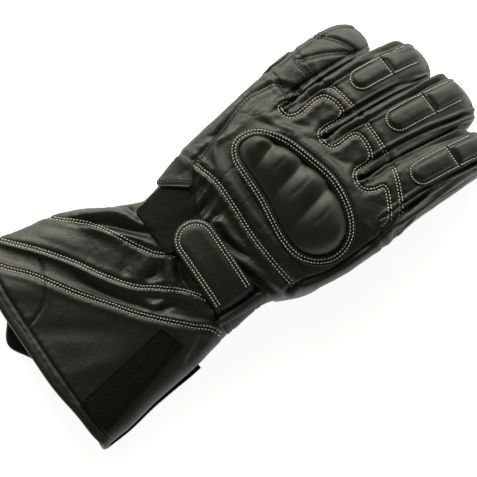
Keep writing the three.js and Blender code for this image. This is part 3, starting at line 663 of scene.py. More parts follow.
def fused(bodies, voxel):
    """One skin round all the bodies, as an even net of four-sided faces."""
    points, faces, start = [], [], 0
    for body_points, body_faces in bodies:
        points.append(body_points)
        faces.append(body_faces + start)
        start += len(body_points)
    obj = put("fusing", np.vstack(points), np.vstack(faces))
    remesh = obj.modifiers.new("remesh", "REMESH")
    remesh.mode = "VOXEL"
    remesh.voxel_size = voxel * MM
    mesh = bpy.data.meshes.new_from_object(obj.evaluated_get(bpy.context.evaluated_depsgraph_get()))
    co = np.empty(len(mesh.vertices) * 3, np.float32)
    mesh.vertices.foreach_get("co", co)
    corners = np.empty(len(mesh.loops), np.int32)
    mesh.loops.foreach_get("vertex_index", corners)
    bpy.data.objects.remove(obj)
    bpy.data.meshes.remove(mesh)
    return co.reshape(-1, 3).astype(float) / MM - SHIFT, corners.reshape(-1, 4)


def edges_of(faces, count):
    """Each edge once, as a pair of points, and for each face the numbers of its four edges."""
    following = np.roll(faces, -1, 1)
    keys = np.minimum(faces, following).astype(np.int64) * count + np.maximum(faces, following)
    unique, index = np.unique(keys.ravel(), return_inverse=True)
    return np.stack([unique // count, unique % count], -1), index.reshape(faces.shape)


def refined(points, faces):
    """Every face cut into four, with new points on its edges and in its middle."""
    count = len(points)
    edges, index = edges_of(faces, count)
    halves = count + index
    middles = count + len(edges) + np.arange(len(faces))
    children = [np.stack([faces[:, k], halves[:, k], middles, halves[:, k - 1]], -1) for k in range(4)]
    finer = np.vstack([points, points[edges].mean(1), points[faces].mean(1)])
    return finer, np.stack(children, 1).reshape(-1, 4), halves


coarse, coarse_faces = fused([tube(hand_rings())] + [tube(digit_rings(name)) for name in DIGITS], VOXEL)
coarse = relaxed(coarse, coarse_faces, 5)
coarse_faces = facing_out(coarse, coarse_faces)
skin, skin_faces, halves = refined(coarse, coarse_faces)
skin = relaxed(skin, skin_faces, 3)
print("skin", len(skin), "points", len(skin_faces), "faces")

# %% [markdown]
# ## Seams, laps and folds pressed into the skin
# A sewn seam pulls the leather down along its stitches and puffs it up beside them. Where one panel is
# laid over the next there is a small step, and bent leather falls into long folds. Each of these is a
# height added along the skin's normal: a bell or a soft step across the distance to its line.

# %% Rows of seams
ROW_APART = 1.9     # between the two rows of a double seam
DOUBLE_ROW = (-ROW_APART / 2, ROW_APART / 2)
SEAM_SPACING = 2.5
# line, distance of the lap's edge from the seam, its height (negative: the near panel lies on top), pucker
LAPS = {
    "cuff_3": (CUFF_LINE_3, 2.6, -0.5, 0.03),
    "cuff_2": (CUFF_LINE_2, -2.9, 0.9, 0.05),
    "cuff_1": (CUFF_LINE_1, -2.9, 0.7, 0.08),
    "wrist": (WRIST_LINE, -3.3, 1.0, 0.12),
    "zigzag": (ZIGZAG, 3.0, -0.8, 0.12),
    "base": (BASE_LINE, -2.7, 0.7, 0.08),
}
BELLOWS_DROP = 1.6
BELLOWS_EDGE = 3.4
SIDE_EDGE = [(-39, -7), (-43, 6), (-51, 28), (-54, 39), (-53, 47), (-51, 57), (-45, 63), (-41, 66)]
LITTLE_SEAM = [(-41, 66), (-44, 76), (-46, 77), (-57, 76), (-56, 80), (-54, 89), (-51, 98), (-46, 112),
               (-55, 108), (-62, 102), (-67, 96)]
HEM_ROW = [(-72, -143), (-46, -146), (-29, -147), (-3, -147.5), (24, -147.5), (48, -146.5), (69, -144)]
CUFF_ARC = [(-44, -119), (-30, -123.3), (-18, -133.3), (-12.5, -146)]

# x, the guard's edge towards the wrist, its edge towards the fingers
GUARD = [(-30.5, 18.5, 24), (-28, 15.2, 29), (-22, 12.8, 33.2), (-12, 12.4, 38.2), (4, 12, 43),
         (18, 10.2, 46.2), (32, 8.8, 45.6), (43, 10.4, 42.6), (50, 15.5, 38), (54, 23, 30.5)]

# %% Folds of the leather
# height, width, then the points of the fold's line
FOLDS = [
    (1.5, 3.4, [(-37, 3), (-24, 1), (-11, 0), (11, -0.5), (34, 0.5), (48, 4)]),
    (-1.3, 2.4, [(-32, 10), (-20, 6.5), (-9, 4.5), (17, 4), (40, 4.5), (50, 7)]),
    (0.9, 2.2, [(-45, 12), (-36, 3), (-22, -3)]),
    (-3.2, 2.8, [(-8.5, -31), (-12, -21), (-16, -12)]),
    (-2.2, 2.4, [(-20, -26), (-23.5, -16), (-25, -12)]),
    (-2.0, 2.2, [(-2, -27), (-3, -19), (-5, -11)]),
    (1.7, 2.6, [(-7, -27), (2, -18.5), (14.5, -18), (26, -15)]),
    (-1.8, 2.2, [(8, -23.5), (20, -20.5), (30, -15)]),
    (2.0, 2.4, [(22, -23.5), (38, -17.5), (52, -12), (60, -7)]),
    (-2.0, 2.0, [(30, -25), (43, -19.5), (56, -11.5)]),
    (1.2, 2.2, [(38, -24), (50, -18), (59, -12)]),
    (1.0, 3.0, [(-43, 38), (-30, 43), (-14, 48), (-3, 52)]),
    (-0.8, 2.2, [(-40, 33), (-30, 38.5), (-20, 43)]),
    (-0.7, 2.2, [(-33, 42), (-23, 50.5), (-15, 60)]),
    (0.7, 2.4, [(-29, 41), (-20, 48), (-12, 56)]),
    (-0.6, 2.0, [(-13, 45), (-9.5, 53), (-6, 58)]),
    (0.8, 2.6, [(-4, 50), (10, 55), (23, 55), (34, 52)]),
    (-0.6, 2.0, [(2, 56), (12, 61), (18, 68)]),
    (-0.6, 2.2, [(30, 54), (33, 58), (40, 64)]),
    (0.7, 2.4, [(48, 50), (55, 52), (60, 46)]),
    (1.8, 3.4, [(-30, -106), (-23, -102), (-7, -95), (9, -84.5), (19, -79)]),
    (-1.2, 2.8, [(-22, -108), (-5, -100.5), (12, -90), (22, -82)]),
    (1.6, 2.4, [(17, -82), (21, -78), (22, -72)]),
    (-1.6, 2.2, [(24, -80), (25, -75), (27, -68)]),
    (3.2, 3.0, [(-2, -53), (5, -57), (11, -61), (18, -64)]),
    (-2.8, 3.0, [(2, -61), (5.5, -67), (5, -75)]),
    (-3.0, 2.6, [(8, -53.5), (16, -56.5), (27, -56)]),
    (1.6, 2.6, [(24, -60), (33, -58), (44, -52)]),
    (3.0, 3.4, [(-54, -85), (-48, -76), (-42, -67), (-33, -60), (-20, -55)]),
    (-4.0, 3.2, [(-52, -90), (-46, -81), (-36, -72), (-27, -65), (-16, -56)]),
    (2.0, 3.0, [(-44, -86), (-32, -76), (-18, -64), (-6, -56)]),
    (-1.6, 2.2, [(-42, -58), (-34, -58), (-24, -56)]),
    (1.4, 2.4, [(-45, -62), (-38, -53), (-36, -46)]),
    (-1.5, 2.2, [(-43, -50), (-38, -42), (-40, -36)]),
    (1.0, 4.0, [(-8, -64), (-2, -72), (0, -80)]),
    (-1.0, 4.0, [(-16, -72), (-9, -80), (-6, -88)]),
    (0.8, 5.0, [(-62, -112), (-45, -101), (-28, -92)]),
    (0.9, 6.0, [(24, -150), (30, -128), (36, -108)]),
    (-0.8, 6.0, [(-10, -150), (4, -128), (22, -104)]),
    (1.0, 7.0, [(-50, -150), (-34, -138), (-22, -122)]),
    (-0.9, 3.0, [(46, -60), (54, -70), (60, -84)]),
    (-1.0, 2.4, [(-48, -4), (-46, 10), (-51, 24)]),
    (1.0, 2.6, [(-45, 0), (-40, 14), (-42, 30)]),
    (1.7, 1.8, [(61, 56), (60, 74), (59.8, 95), (58, 113)]),
    (-1.8, 1.5, [(63.5, 56), (62.8, 74), (62.4, 95), (60.5, 113)]),
    (-1.2, 1.6, [(57.5, 62), (56.8, 76), (56.8, 95)]),
]

# the three crotches, as places along the glove, and how deep each is pinched
CROTCHES = [55.0, 64.5, 67.5]
CROTCH_PINCH = 3.6
# the gap between two fingers and the rolled edges beside it:
# height, distance from the gap, width, start past the crotch, softness of that start
GAP_ROLLS = [(-2.4, 0, 0.8, 0, 1.5), (1.1, 2.9, 1.1, 0, 2.0), (-0.9, 5.2, 0.8, 4, 2.0)]
# the welt round a crotch: height, how far before the crotch its middle lies, radius, width
WELT = (0.9, 2.5, 3.2, 1.2)
# degrees up the side of a finger, height and width of the rolled strip and of the seams on its edges
SIDE_STRIP = [(50, -0.9, 0.6), (34, 0.9, 1.7), (14, -0.8, 0.8)]
SIDE_STRIP_FROM = 62
WRINKLE = 0.18
# height and place of the ridge past the guard's flange, its reach, and how far the shell's foot is pressed in
GUARD_RIDGE, RIDGE_AT, RIDGE_REACH, GUARD_FOOT = 3.4, 6.6, 7.0, 1.5
# the strap's slot: the leather is pressed down between these places, by this much
SLOT = {"from": 43.0, "to": 49.0, "half": 14.0, "deep": 3.4}


def lapped(distance, edge, height):
    """A step up past the edge on the left of a line, or on its right when the height is negative."""
    side = math.copysign(1, height)
    past = side * (distance - edge)
    return abs(height) * step_up(past, 0.5) * np.exp(-np.maximum(past, 0) / 8)


def sewn(distance, along, rows, pull=0.42, puff=0.4, pucker=0.1):
    """A seam: pulled down along its rows of stitches, puffed beside them and puckered along its length."""
    rows = np.asarray(rows)
    down = -pull * sum(bell(distance - row, 0.65) for row in rows)
    side = np.abs(distance - rows.mean())
    reach = (rows.max() - rows.min()) / 2
    up = puff * bell(side - reach - 3.0, 2.0) - 0.5 * bell(side, reach + 1.0)
    wave = np.sin(2 * math.pi * along / 6.3 + 2.2 * np.sin(along / 11.0))
    return down + up + pucker * wave * bell(side - reach - 2.2, 2.0)


def to_seam(line, x, y, reach=14):
    """Distance to a smooth seam, place along it and its length."""
    return measured(curve(line, SEAM_SPACING), x, y, reach)


def seam_relief(x, y):
    """The sewn and lapped seams on the back of the hand and cuff."""
    height = np.zeros(len(x))
    away = {}
    for name, (line, edge, step, pucker) in LAPS.items():
        away[name], along, _ = to_seam(line, x, y, 26)
        height += lapped(away[name], edge, step) + sewn(away[name], along, DOUBLE_ROW, pucker=pucker)
    bellows = step_up(away["cuff_3"] - BELLOWS_EDGE, 0.5) * step_up(-away["cuff_2"] - BELLOWS_EDGE, 0.5)
    between = beyond(CUFF_LINE_3, x, y) & ~beyond(CUFF_LINE_2, x, y)
    height -= BELLOWS_DROP * np.where(between, bellows, 0)
    for line, edge in ((SIDE_EDGE, 2.8), (LITTLE_SEAM, -2.4)):
        d, along, _ = to_seam(line, x, y)
        height += sewn(d, along, DOUBLE_ROW, 0.42, 0.16, 0.06)
        height += lapped(d, edge, 0.7 * math.copysign(1, edge))
    d, along, _ = to_seam(CUFF_ARC, x, y)
    height += sewn(d, along, (0,), 0.2, 0.12, 0.03)
    d, along, _ = to_seam(HEM_ROW, x, y)
    height += sewn(d, along, (0,), 0.4, 0.15, 0.08) + 0.5 * step_up(-d - 1.0, 0.5)
    d, along, _ = to_seam(BACK_EDGE, x, y)
    return height + (1.1 * bell(d + 2.8, 1.8) - 1.7 * bell(d, 0.8)) * step_up(y + 14, 3.0)


def finger_back_relief(x, y):
    """The welts on both sides of the seams that frame each finger's back."""
    height = np.zeros(len(x))
    past_base = step_up(y - np.interp(x, *np.array(BASE_LINE, float).T) + 14, 2.0)
    for name, outline in FINGER_BACKS.items():
        d, _, _ = measured(np.array(outline, float), x, y, 12)
        welts = 0.95 * bell(np.abs(d) - 1.8, 1.0) - 1.3 * bell(d, 0.6)
        height += welts * past_base * step_up(DIGITS[name]["tip"] - 7 - y, 2.0)
    return height


def fold_relief(x, y):
    height = np.zeros(len(x))
    for crest, width, line in FOLDS:
        d, along, length = to_seam(line, x, y, width * 3.5)
        height += crest * bell(d, width) * tapered(along, length)
    return height


def gap_relief(x, y):
    """The pinched gaps between the fingers, with rolled edges and a welt round each crotch."""
    height = np.zeros(len(x))
    crest, before, radius, wide = WELT
    for line, end in zip(SPLITS, CROTCHES):
        split = np.array(line, float)
        away = x - np.interp(y, split[:, 1], split[:, 0])
        height -= CROTCH_PINCH * bell(away, 1.2) * bell(y - end, 6.0)
        for roll, place, width, start, soft in GAP_ROLLS:
            height += roll * bell(np.abs(away) - place, width) * step_up(y - end - start, soft)
        welt = bell(np.hypot(away, y - end + before) - radius, wide)
        height += crest * welt * step_up(end + 2 - y, 1.0)
    return height


def slot_relief(x, y):
    """The trough in which the strap goes down through its keeper."""
    across = step_up(x - SLOT["from"], 0.4) * step_up(SLOT["to"] - x, 0.4)
    return -SLOT["deep"] * across * step_up(SLOT["half"] - np.abs(y - STRAP["y"]), 0.5)


def guard_loop(spacing):
    """The guard's outline as seen from above."""
    near, far = [(x, a) for x, a, _ in GUARD], [(x, b) for x, _, b in reversed(GUARD)]
    return curve(near + far, spacing, closed=True)


def guard_foot_relief(x, y):
    """On the fingers' side the leather is pressed in at the shell's foot and rises past the flange."""
    outline = guard_loop(2.0)
    d, _, _ = measured(outline, x, y, 24, closed=True)
    out = np.where(within(outline, x, y), -1, 1) * np.abs(d)
    axis = (along_table(GUARD, x, 1) + along_table(GUARD, x, 2)) / 2
    fingers_side = step_up(y - axis - 3, 1.5) * step_up(52 - x, 3.0) * step_up(x + 27, 1.5)
    fall = np.where(out > RIDGE_AT, bell(out - RIDGE_AT, RIDGE_REACH), 1)
    ramp = np.clip(out / RIDGE_AT, 0, 1) ** 1.3 * fall
    return fingers_side * (GUARD_RIDGE * ramp - GUARD_FOOT * bell(out, 2.0))


def finger_seams(points):
    """The seam low on each side of a finger, where its side strip meets the back."""
    height = np.zeros(len(points))
    for name in FINGERS:
        form = DIGITS[name]
        mine = (points[:, 1] > SIDE_STRIP_FROM) & (points[:, 1] < form["tip"] - 3)
        x, y, z = points[mine].T
        middle, level, half_x, half_z = section(form, y)
        angle = np.degrees(np.arctan2((z - level) / half_z, np.abs(x - middle) / half_x))
        outside = np.maximum(np.abs(x - middle) / half_x, np.abs(z - level) / half_z)
        near = step_up(1.25 - outside, 0.03) * step_up(y - SIDE_STRIP_FROM, 3.0)
        for place, crest, width in SIDE_STRIP:
            height[mine] += near * crest * bell((angle - place) * half_x * math.pi / 180, width)
    return height


def wrinkled(points):
    """Fine creases of bent leather: thin valleys along the places where a long soft noise is zero."""
    valleys = hills(points * np.array([1.0, 0.6, 1.0]), 13.0, 21.7, 3)
    return -bell(valleys, 0.055)


# %% Press them into the skin
above_seam = skin[:, 2] - np.interp(skin[:, 1], *SIDE_SEAM.T)
upper = above_seam > -6
ux, uy = skin[upper, 0], skin[upper, 1]
relief = np.zeros(len(skin))
for part in (seam_relief, finger_back_relief, fold_relief, slot_relief, gap_relief, guard_foot_relief):
    relief[upper] += part(ux, uy)
relief *= step_up(above_seam, 2.0)
calm = step_up(coarse[:, 1] + 92, 8.0)      # the cuff is stiffened and lies smooth
rolling = 0.5 * hills(coarse, 24.0, 3.1) * (0.35 + 0.65 * calm) + 0.22 * hills(coarse, 8.0, 8.7) * calm
edges, _ = edges_of(coarse_faces, len(coarse))
relief += np.concatenate([rolling, rolling[edges].mean(1), rolling[coarse_faces].mean(1)])
relief += finger_seams(skin)
bent = step_up(skin[:, 1] + 90, 6.0) * (0.5 + 0.5 * step_up(62 - skin[:, 1], 10.0))
relief[upper] += WRINKLE * wrinkled(skin[upper]) * (0.15 + 0.85 * bent[upper])
outward = unit(relaxed(normals_of(skin, skin_faces), skin_faces, 8))
skin = relaxed(skin + outward * relief[:, None], skin_faces, 1, 0.4)
skin[:, 2] = np.maximum(skin[:, 2], 0)
skin_normals = normals_of(skin, skin_faces)
print("relief from", relief.min().round(2), "to", relief.max().round(2), "mm")

# %% [markdown]
# ## Cutting the skin into panels
# Each face belongs to the panel whose lines enclose it. A panel gets the wall's thickness on the inside
# and a cut edge all round, and keeps the whole skin's normals, so that panels meet without a break.

# %% Name each face's panel
centre = skin[coarse_faces].mean(1)
fx, fy, fz = centre.T


def over_hand(x, y, z):
    middle, height, half_x, half_z = section(HAND, y)
    return np.abs((x - middle) / half_x) ** SQUARENESS + np.abs((z - height) / half_z) ** SQUARENESS


# the room in which the skin belongs to the thumb, and how far outside the hand's section it starts
THUMB_ROOM = {"left": 18, "right": 62, "from": -18, "to": 84, "top": 26, "outside": 1.12}
THUMB_LOW = 20.5        # past the crotches only the skin below this is the thumb's
HEM_TUCK = 2.0          # the panels end this far inside the binding
LINES = {"3": CUFF_LINE_3, "2": CUFF_LINE_2, "1": CUFF_LINE_1, "wrist": WRIST_LINE, "crotch": CROTCH_LINE}


def panel_names():
    names = np.full(len(centre), "palm_panel", dtype="U24")
    on_back = fz > np.interp(fy, *SIDE_SEAM.T)
    edge = np.array(BACK_EDGE, float)
    inner = fx < np.interp(fy, edge[:, 1], edge[:, 0])
    past = {key: beyond(curve(line), fx, fy) for key, line in LINES.items()}
    past["zigzag"], past["base"] = beyond(ZIGZAG, fx, fy), beyond(BASE_LINE, fx, fy)
    names[~on_back & (fy < PALM_SEAM_Y)] = "cuff_palm_panel"
    names[on_back & ~past["3"]] = "cuff_front_panel"
    names[on_back & past["3"] & ~past["2"]] = "cuff_bellows_panel"
    names[on_back & past["2"] & ~past["1"]] = "cuff_middle_panel"
    names[on_back & past["1"] & ~past["wrist"]] = "wrist_panel"
    back = on_back & past["wrist"] & inner
    names[back & ~past["zigzag"]] = "back_panel"
    names[back & past["zigzag"] & ~past["base"]] = "finger_yoke"
    splits = [np.interp(fy, *np.array(line, float)[:, ::-1].T) for line in SPLITS]
    space = sum((fx > split).astype(int) for split in splits)
    for index, name in enumerate(FINGERS):
        mine = past["crotch"] & (space == index) & ~(back & ~past["base"])
        names[mine] = name + "_finger"
        if name in FINGER_BACKS:
            names[mine & on_back & past["base"] & within(FINGER_BACKS[name], fx, fy)] = name + "_finger_back"
    names[on_back & within(SIDE_PANEL, fx, fy)] = "outer_side_panel"
    room = THUMB_ROOM
    in_thumb = (fx > room["left"]) & (fx < room["right"]) & (fy > room["from"]) & (fy < room["to"])
    in_thumb &= (fz < room["top"]) & (over_hand(fx, fy, fz) > room["outside"])
    names[in_thumb & ~past["crotch"]] = "thumb"
    names[in_thumb & past["crotch"] & (fz < THUMB_LOW) & (fy < room["to"] - 1)] = "thumb"
    names[fy < hem_y(fx, fz) + HEM_TUCK] = ""
    return names


def largest_part(faces):
    """Keeps the faces that hang together with most of the others, so that no stray face stays."""
    parent = np.arange(len(coarse))
    for _ in range(200):
        low = parent[faces].min(1)
        updated = parent.copy()
        for k in range(faces.shape[1]):
            np.minimum.at(updated, faces[:, k], low)
        updated = updated[updated]
        if np.array_equal(updated, parent):
            break
        parent = updated
    label = parent[faces[:, 0]]
    values, counts = np.unique(label, return_counts=True)
    return label == values[counts.argmax()]


def islands_joined(names):
    """Faces cut off from their panel, as where a finger swells past a dividing line, join the one beside."""
    stray = np.zeros(len(names), bool)
    for name in set(names) - {""}:
        chosen = np.flatnonzero(names == name)
        stray[chosen[~largest_part(coarse_faces[chosen])]] = True
    _, edge_of_side = edges_of(coarse_faces, len(coarse))
    order = np.argsort(edge_of_side.ravel(), kind="stable")
    owner, edge = order // 4, edge_of_side.ravel()[order]
    shared = edge[:-1] == edge[1:]
    pairs = np.stack([owner[:-1][shared], owner[1:][shared]], -1)
    pairs = np.vstack([pairs, pairs[:, ::-1]])
    while stray.any():
        a, b = pairs[stray[pairs[:, 0]] & ~stray[pairs[:, 1]]].T
        joins = (names[b] != names[a]) & (names[b] != "")
        if not joins.any():
            break
        names[a[joins]] = names[b[joins]]
        stray[a[joins]] = False
    print("faces that join no panel", int(stray.sum()))
    return names


names = islands_joined(panel_names())


def panel(name, chosen, fine):
    """A panel over the chosen coarse faces: outside fine or coarse, inside coarse, and a rim between them."""
    net = coarse_faces[chosen]
    start, end, half = net.ravel(), np.roll(net, -1, 1).ravel(), halves[chosen].ravel()
    rim = ~np.isin(end * len(coarse) + start, start * len(coarse) + end)
    a, b, m = start[rim], end[rim], half[rim]
    outer = skin_faces.reshape(-1, 4, 4)[chosen].reshape(-1, 4) if fine else net
    outer_used, outer_local = np.unique(outer, return_inverse=True)
    inner_used, inner_local = np.unique(net, return_inverse=True)
    count = len(outer_used)
    low = inner_local.reshape(net.shape) + count
    inner_a, inner_b = np.searchsorted(inner_used, a) + count, np.searchsorted(inner_used, b) + count
    outer_a, outer_b = np.searchsorted(outer_used, a), np.searchsorted(outer_used, b)
    walls = [np.stack([outer_a, inner_a, inner_b], -1)]
    if fine:
        outer_m = np.searchsorted(outer_used, m)
        walls = [np.stack([outer_m, outer_a, inner_a], -1), np.stack([outer_m, inner_a, inner_b], -1),
                 np.stack([outer_b, outer_m, inner_b], -1)]
    else:
        walls.append(np.stack([outer_b, outer_a, inner_b], -1))
    points = np.vstack([skin[outer_used], skin[inner_used] - outward[inner_used] * WALL])
    faces = np.vstack([triangles(outer_local.reshape(outer.shape)), triangles(low[:, ::-1])] + walls)
    obj = put("leather_" + name, points, faces, drum_dyed_leather)
    normals = np.vstack([skin_normals[outer_used], -outward[inner_used]])
    obj.data.normals_split_custom_set_from_vertices(normals)
    return dressed(obj, name)


UNDERSIDE = {"palm_panel", "cuff_palm_panel", "thumb"}      # not seen from above, so left coarse
for name in sorted(set(names) - {""}):
    chosen = np.flatnonzero(names == name)
    chosen = chosen[largest_part(coarse_faces[chosen])]
    print(name, len(panel(name, chosen, name not in UNDERSIDE).data.polygons))

# %% [markdown]
# ## Laying things on the skin
# Patches, pads, the strap and the stitches all lie on the leather. A ray sent straight down at the skin
# says how high it is there, so a piece drawn flat takes the glove's bends and folds when it is laid on.

# %% Find the surface below a point
def tree_of(points, faces):
    return BVHTree.FromPolygons(points.tolist(), faces.tolist())


BACK_FROM = 8.0         # the faces above this height are enough to lay things on
backs = skin_faces.reshape(-1, 4, 4)[(fz > BACK_FROM) & (names != "")].reshape(-1, 4)
skin_tree = tree_of(skin, backs)
DOWN = Vector((0, 0, -1))
SKY = 150.0
HAND_LEVEL = 25.0


def land(tree, x, y):
    """Points of the surface under the places x, y, seen from above."""
    places = []
    for px, py in zip(np.ravel(x), np.ravel(y)):
        hit = tree.ray_cast(Vector((px, py, SKY)), DOWN)[0]
        if hit is None:
            hit = tree.find_nearest(Vector((px, py, HAND_LEVEL)))[0]
        places.append(hit)
    return np.array(places, float).reshape(np.shape(x) + (3,))


def grid_normals(grid, rounds=4, wrap_rows=False):
    """Smoothed normals of a grid of points, pointing up."""
    rows, columns = grid.shape[:2]
    faces = grid_faces(rows, columns, wrap_rows=wrap_rows)
    normals = unit(relaxed(normals_of(grid.reshape(-1, 3), faces), faces, rounds))
    return (normals * (1 if normals[:, 2].mean() >= 0 else -1)).reshape(grid.shape)


# %% [markdown]
# ## The knuckle guard
# A hard shell under stretched leather covers the knuckles. Its skirt rises from the stitched flange, and
# four knuckles swell from it with soft valleys between them, deepest at the fingers' edge. A grid of
# heights over the back of the hand gives that form directly.

# %% Guard
GUARD_HEIGHT = 4.9
KNUCKLE_HEIGHT = 5.4
GUARD_END = 9.0
GUARD_SINK = 1.2
GUARD_GRID = (160, 70)
# x, half width, depth, how far the valley leans towards the thumb at the fingers' edge
VALLEYS = [(-14.5, 4.6, 0.8, 6), (5.5, 5.4, 0.85, 7), (27, 5.4, 0.8, 9)]
VALLEY_CUSP = 1.5       # below 2 a valley is creased along its middle
SCALLOP, SCALLOP_WIDTH = 1.3, 3.6       # the shell's edge is drawn in by this much at each valley
DIMPLE = {"x": -18.0, "y": 27.5, "width": 4.2, "deep": 1.1}
# height, width and points of a few soft creases in the stretched leather
GUARD_CREASES = [
    (-0.35, 1.6, [(12, 39), (14.5, 30), (15, 21)]),
    (-0.3, 1.4, [(-7, 35), (-5, 28), (-4, 20)]),
    (-0.3, 1.5, [(33, 40), (36, 31), (36, 22)]),
]


def guard_height(x, across):
    """Height of the shell over the hand; across runs from its wrist edge to its fingers' edge."""
    ends = np.minimum(x - GUARD[0][0], GUARD[-1][0] - x)
    arch = (1 - np.abs(2 * across - 1) ** 2.8) ** 0.6
    valley = np.zeros(np.shape(x))
    for place, half, depth, lean in VALLEYS:
        away = (x - place - lean * (0.5 - across)) / half
        valley = np.maximum(valley, depth * np.exp(-np.abs(away) ** VALLEY_CUSP))
    crest = GUARD_HEIGHT + KNUCKLE_HEIGHT * across ** 0.8 * (1 - valley)
    return 1 + crest * arch * rolled(ends, GUARD_END)


def guard_grid():
    """The shell's grid as x, y and the share of the way across, closer together at its edges."""
    steps = np.linspace(0, 1, GUARD_GRID[0])
    closer = 0.65 * steps + 0.35 * (1 - np.cos(math.pi * steps)) / 2
    along = GUARD[0][0] + (GUARD[-1][0] - GUARD[0][0]) * closer
    x, across = np.meshgrid(along, (1 - np.cos(np.linspace(0, math.pi, GUARD_GRID[1]))) / 2, indexing="ij")
    near, far = along_table(GUARD, x, 1), along_table(GUARD, x, 2)
    for place, _, _, lean in VALLEYS:
        far = far - SCALLOP * bell(x - place + lean / 2, SCALLOP_WIDTH)
    return x, near + (far - near) * across, across


gx, gy, guard_across = guard_grid()
lift = guard_height(gx, guard_across)
lift -= DIMPLE["deep"] * bell(np.hypot(gx - DIMPLE["x"], gy - DIMPLE["y"]), DIMPLE["width"])
for crest, width, line in GUARD_CREASES:
    d, along, length = measured(curve(line, 2.0), gx.ravel(), gy.ravel(), width * 4)
    lift += (crest * bell(d, width) * tapered(along, length)).reshape(gx.shape)
base = top_height(gx, gy)
guard_top = np.stack([gx, gy, base + lift], -1)
guard_low = np.stack([gx, gy, base - GUARD_SINK], -1)
guard = put("moulded_knuckle_guard", *sheet_body(guard_top, guard_low), stretched_leather)
dressed(guard, "knuckle_guard")
print("guard rises to", guard_top[..., 2].max().round(1), "mm")

# %% [markdown]
# ## The stitched flange round the guard
# A flat strip of leather is sewn down all round the guard with two rows of pale stitches, which hold the
# shell in place. It is a closed ring of even width laid on the skin.

# %% Guard flange
TRIM_INNER, TRIM_OUTER = 0.1, 6.0
TRIM_THICK = 1.2
TRIM_BASE = 0.25
TRIM_ROWS = (2.6, 4.5)
TRIM_COLUMNS = 26
SINK = 0.8          # how deep a laid piece reaches below the leather's surface, so that no gap shows

guard_outline = guard_loop(1.0)
trim_offsets = np.linspace(TRIM_INNER, TRIM_OUTER, TRIM_COLUMNS)
trim_edge = np.minimum(trim_offsets - TRIM_INNER, TRIM_OUTER - trim_offsets)
trim_heights = TRIM_THICK * rolled(trim_edge, 0.9) + TRIM_BASE
trim_heights -= 0.32 * sum(bell(trim_offsets - row, 0.5) for row in TRIM_ROWS)
trim_places = np.stack([beside(guard_outline, -offset, True) for offset in trim_offsets], 1)
trim_laid = land(skin_tree, trim_places[..., 0], trim_places[..., 1])
trim_up = grid_normals(trim_laid, wrap_rows=True)
trim_loops = np.concatenate([trim_laid + trim_up * trim_heights[None, :, None],
                             (trim_laid - trim_up * SINK)[:, ::-1]], 1)
trim_points = trim_loops.reshape(-1, 3)
trim_faces = facing_out(trim_points, grid_faces(*trim_loops.shape[:2], wrap_rows=True, wrap_columns=True))
dressed(put("guard_flange", trim_points, trim_faces, drum_dyed_leather), "guard_trim")
trim_tree = tree_of(trim_points, trim_faces)
print("flange", len(guard_outline), "rows")

# %% [markdown]
# ## Padded strips on the fingers
# Each finger but the little one has a foam strip under leather in two sections, with a flat sewn edge and
# a crowned middle. The height of the leather depends on the distance to the strip's edge: a thin flange,
# a groove, then the swelling of the foam. The strips are short and firm, so they are shaped directly
# rather than inflated by a cloth simulation, which would blur the groove.

# %% Finger pads
# finger, x and y of the start, x and y of the end, y of the cross seam, half the width
FINGER_PADS = [("ring", -25, 94.5, -26, 144.5, 121.5, 7.2), ("middle", 8.5, 97.5, 8, 153.5, 129, 7.8),
               ("index", 43.8, 90.5, 43.8, 144, 121.5, 7.6)]
PAD_FLANGE = 0.7
PAD_GROOVE = 2.1
PAD_SWELL = 2.3
PAD_EDGE = 0.4          # leather past the half width
PAD_ROW = 1.0           # the stitches' distance from the edge
CROSS_GAP = 0.35
PAD_STEP = 0.7
PAD_COLUMNS = 27
END_INSET = PAD_GROOVE - 0.9    # the straight ends have almost no flange
TIP_ROUND = (5.0, 9.0)          # where the last section starts to narrow, and over what length


def pad_height(edge):
    groove = -0.35 * bell(edge - PAD_GROOVE, 0.5)
    swell = PAD_SWELL * (1 - np.exp(-np.clip(edge - PAD_GROOVE, 0, None) / 1.1))
    return PAD_FLANGE * rolled(edge, 0.5) + groove + swell


def pad_line(entry):
    """Start, direction, sideways direction, length, place of the cross seam and half width."""
    _, x0, y0, x1, y1, cross, half = entry
    start, end = np.array([x0, y0], float), np.array([x1, y1], float)
    total = np.linalg.norm(end - start)
    forward = (end - start) / total
    return start, forward, np.array([forward[1], -forward[0]]), total, (cross - y0) / forward[1], half


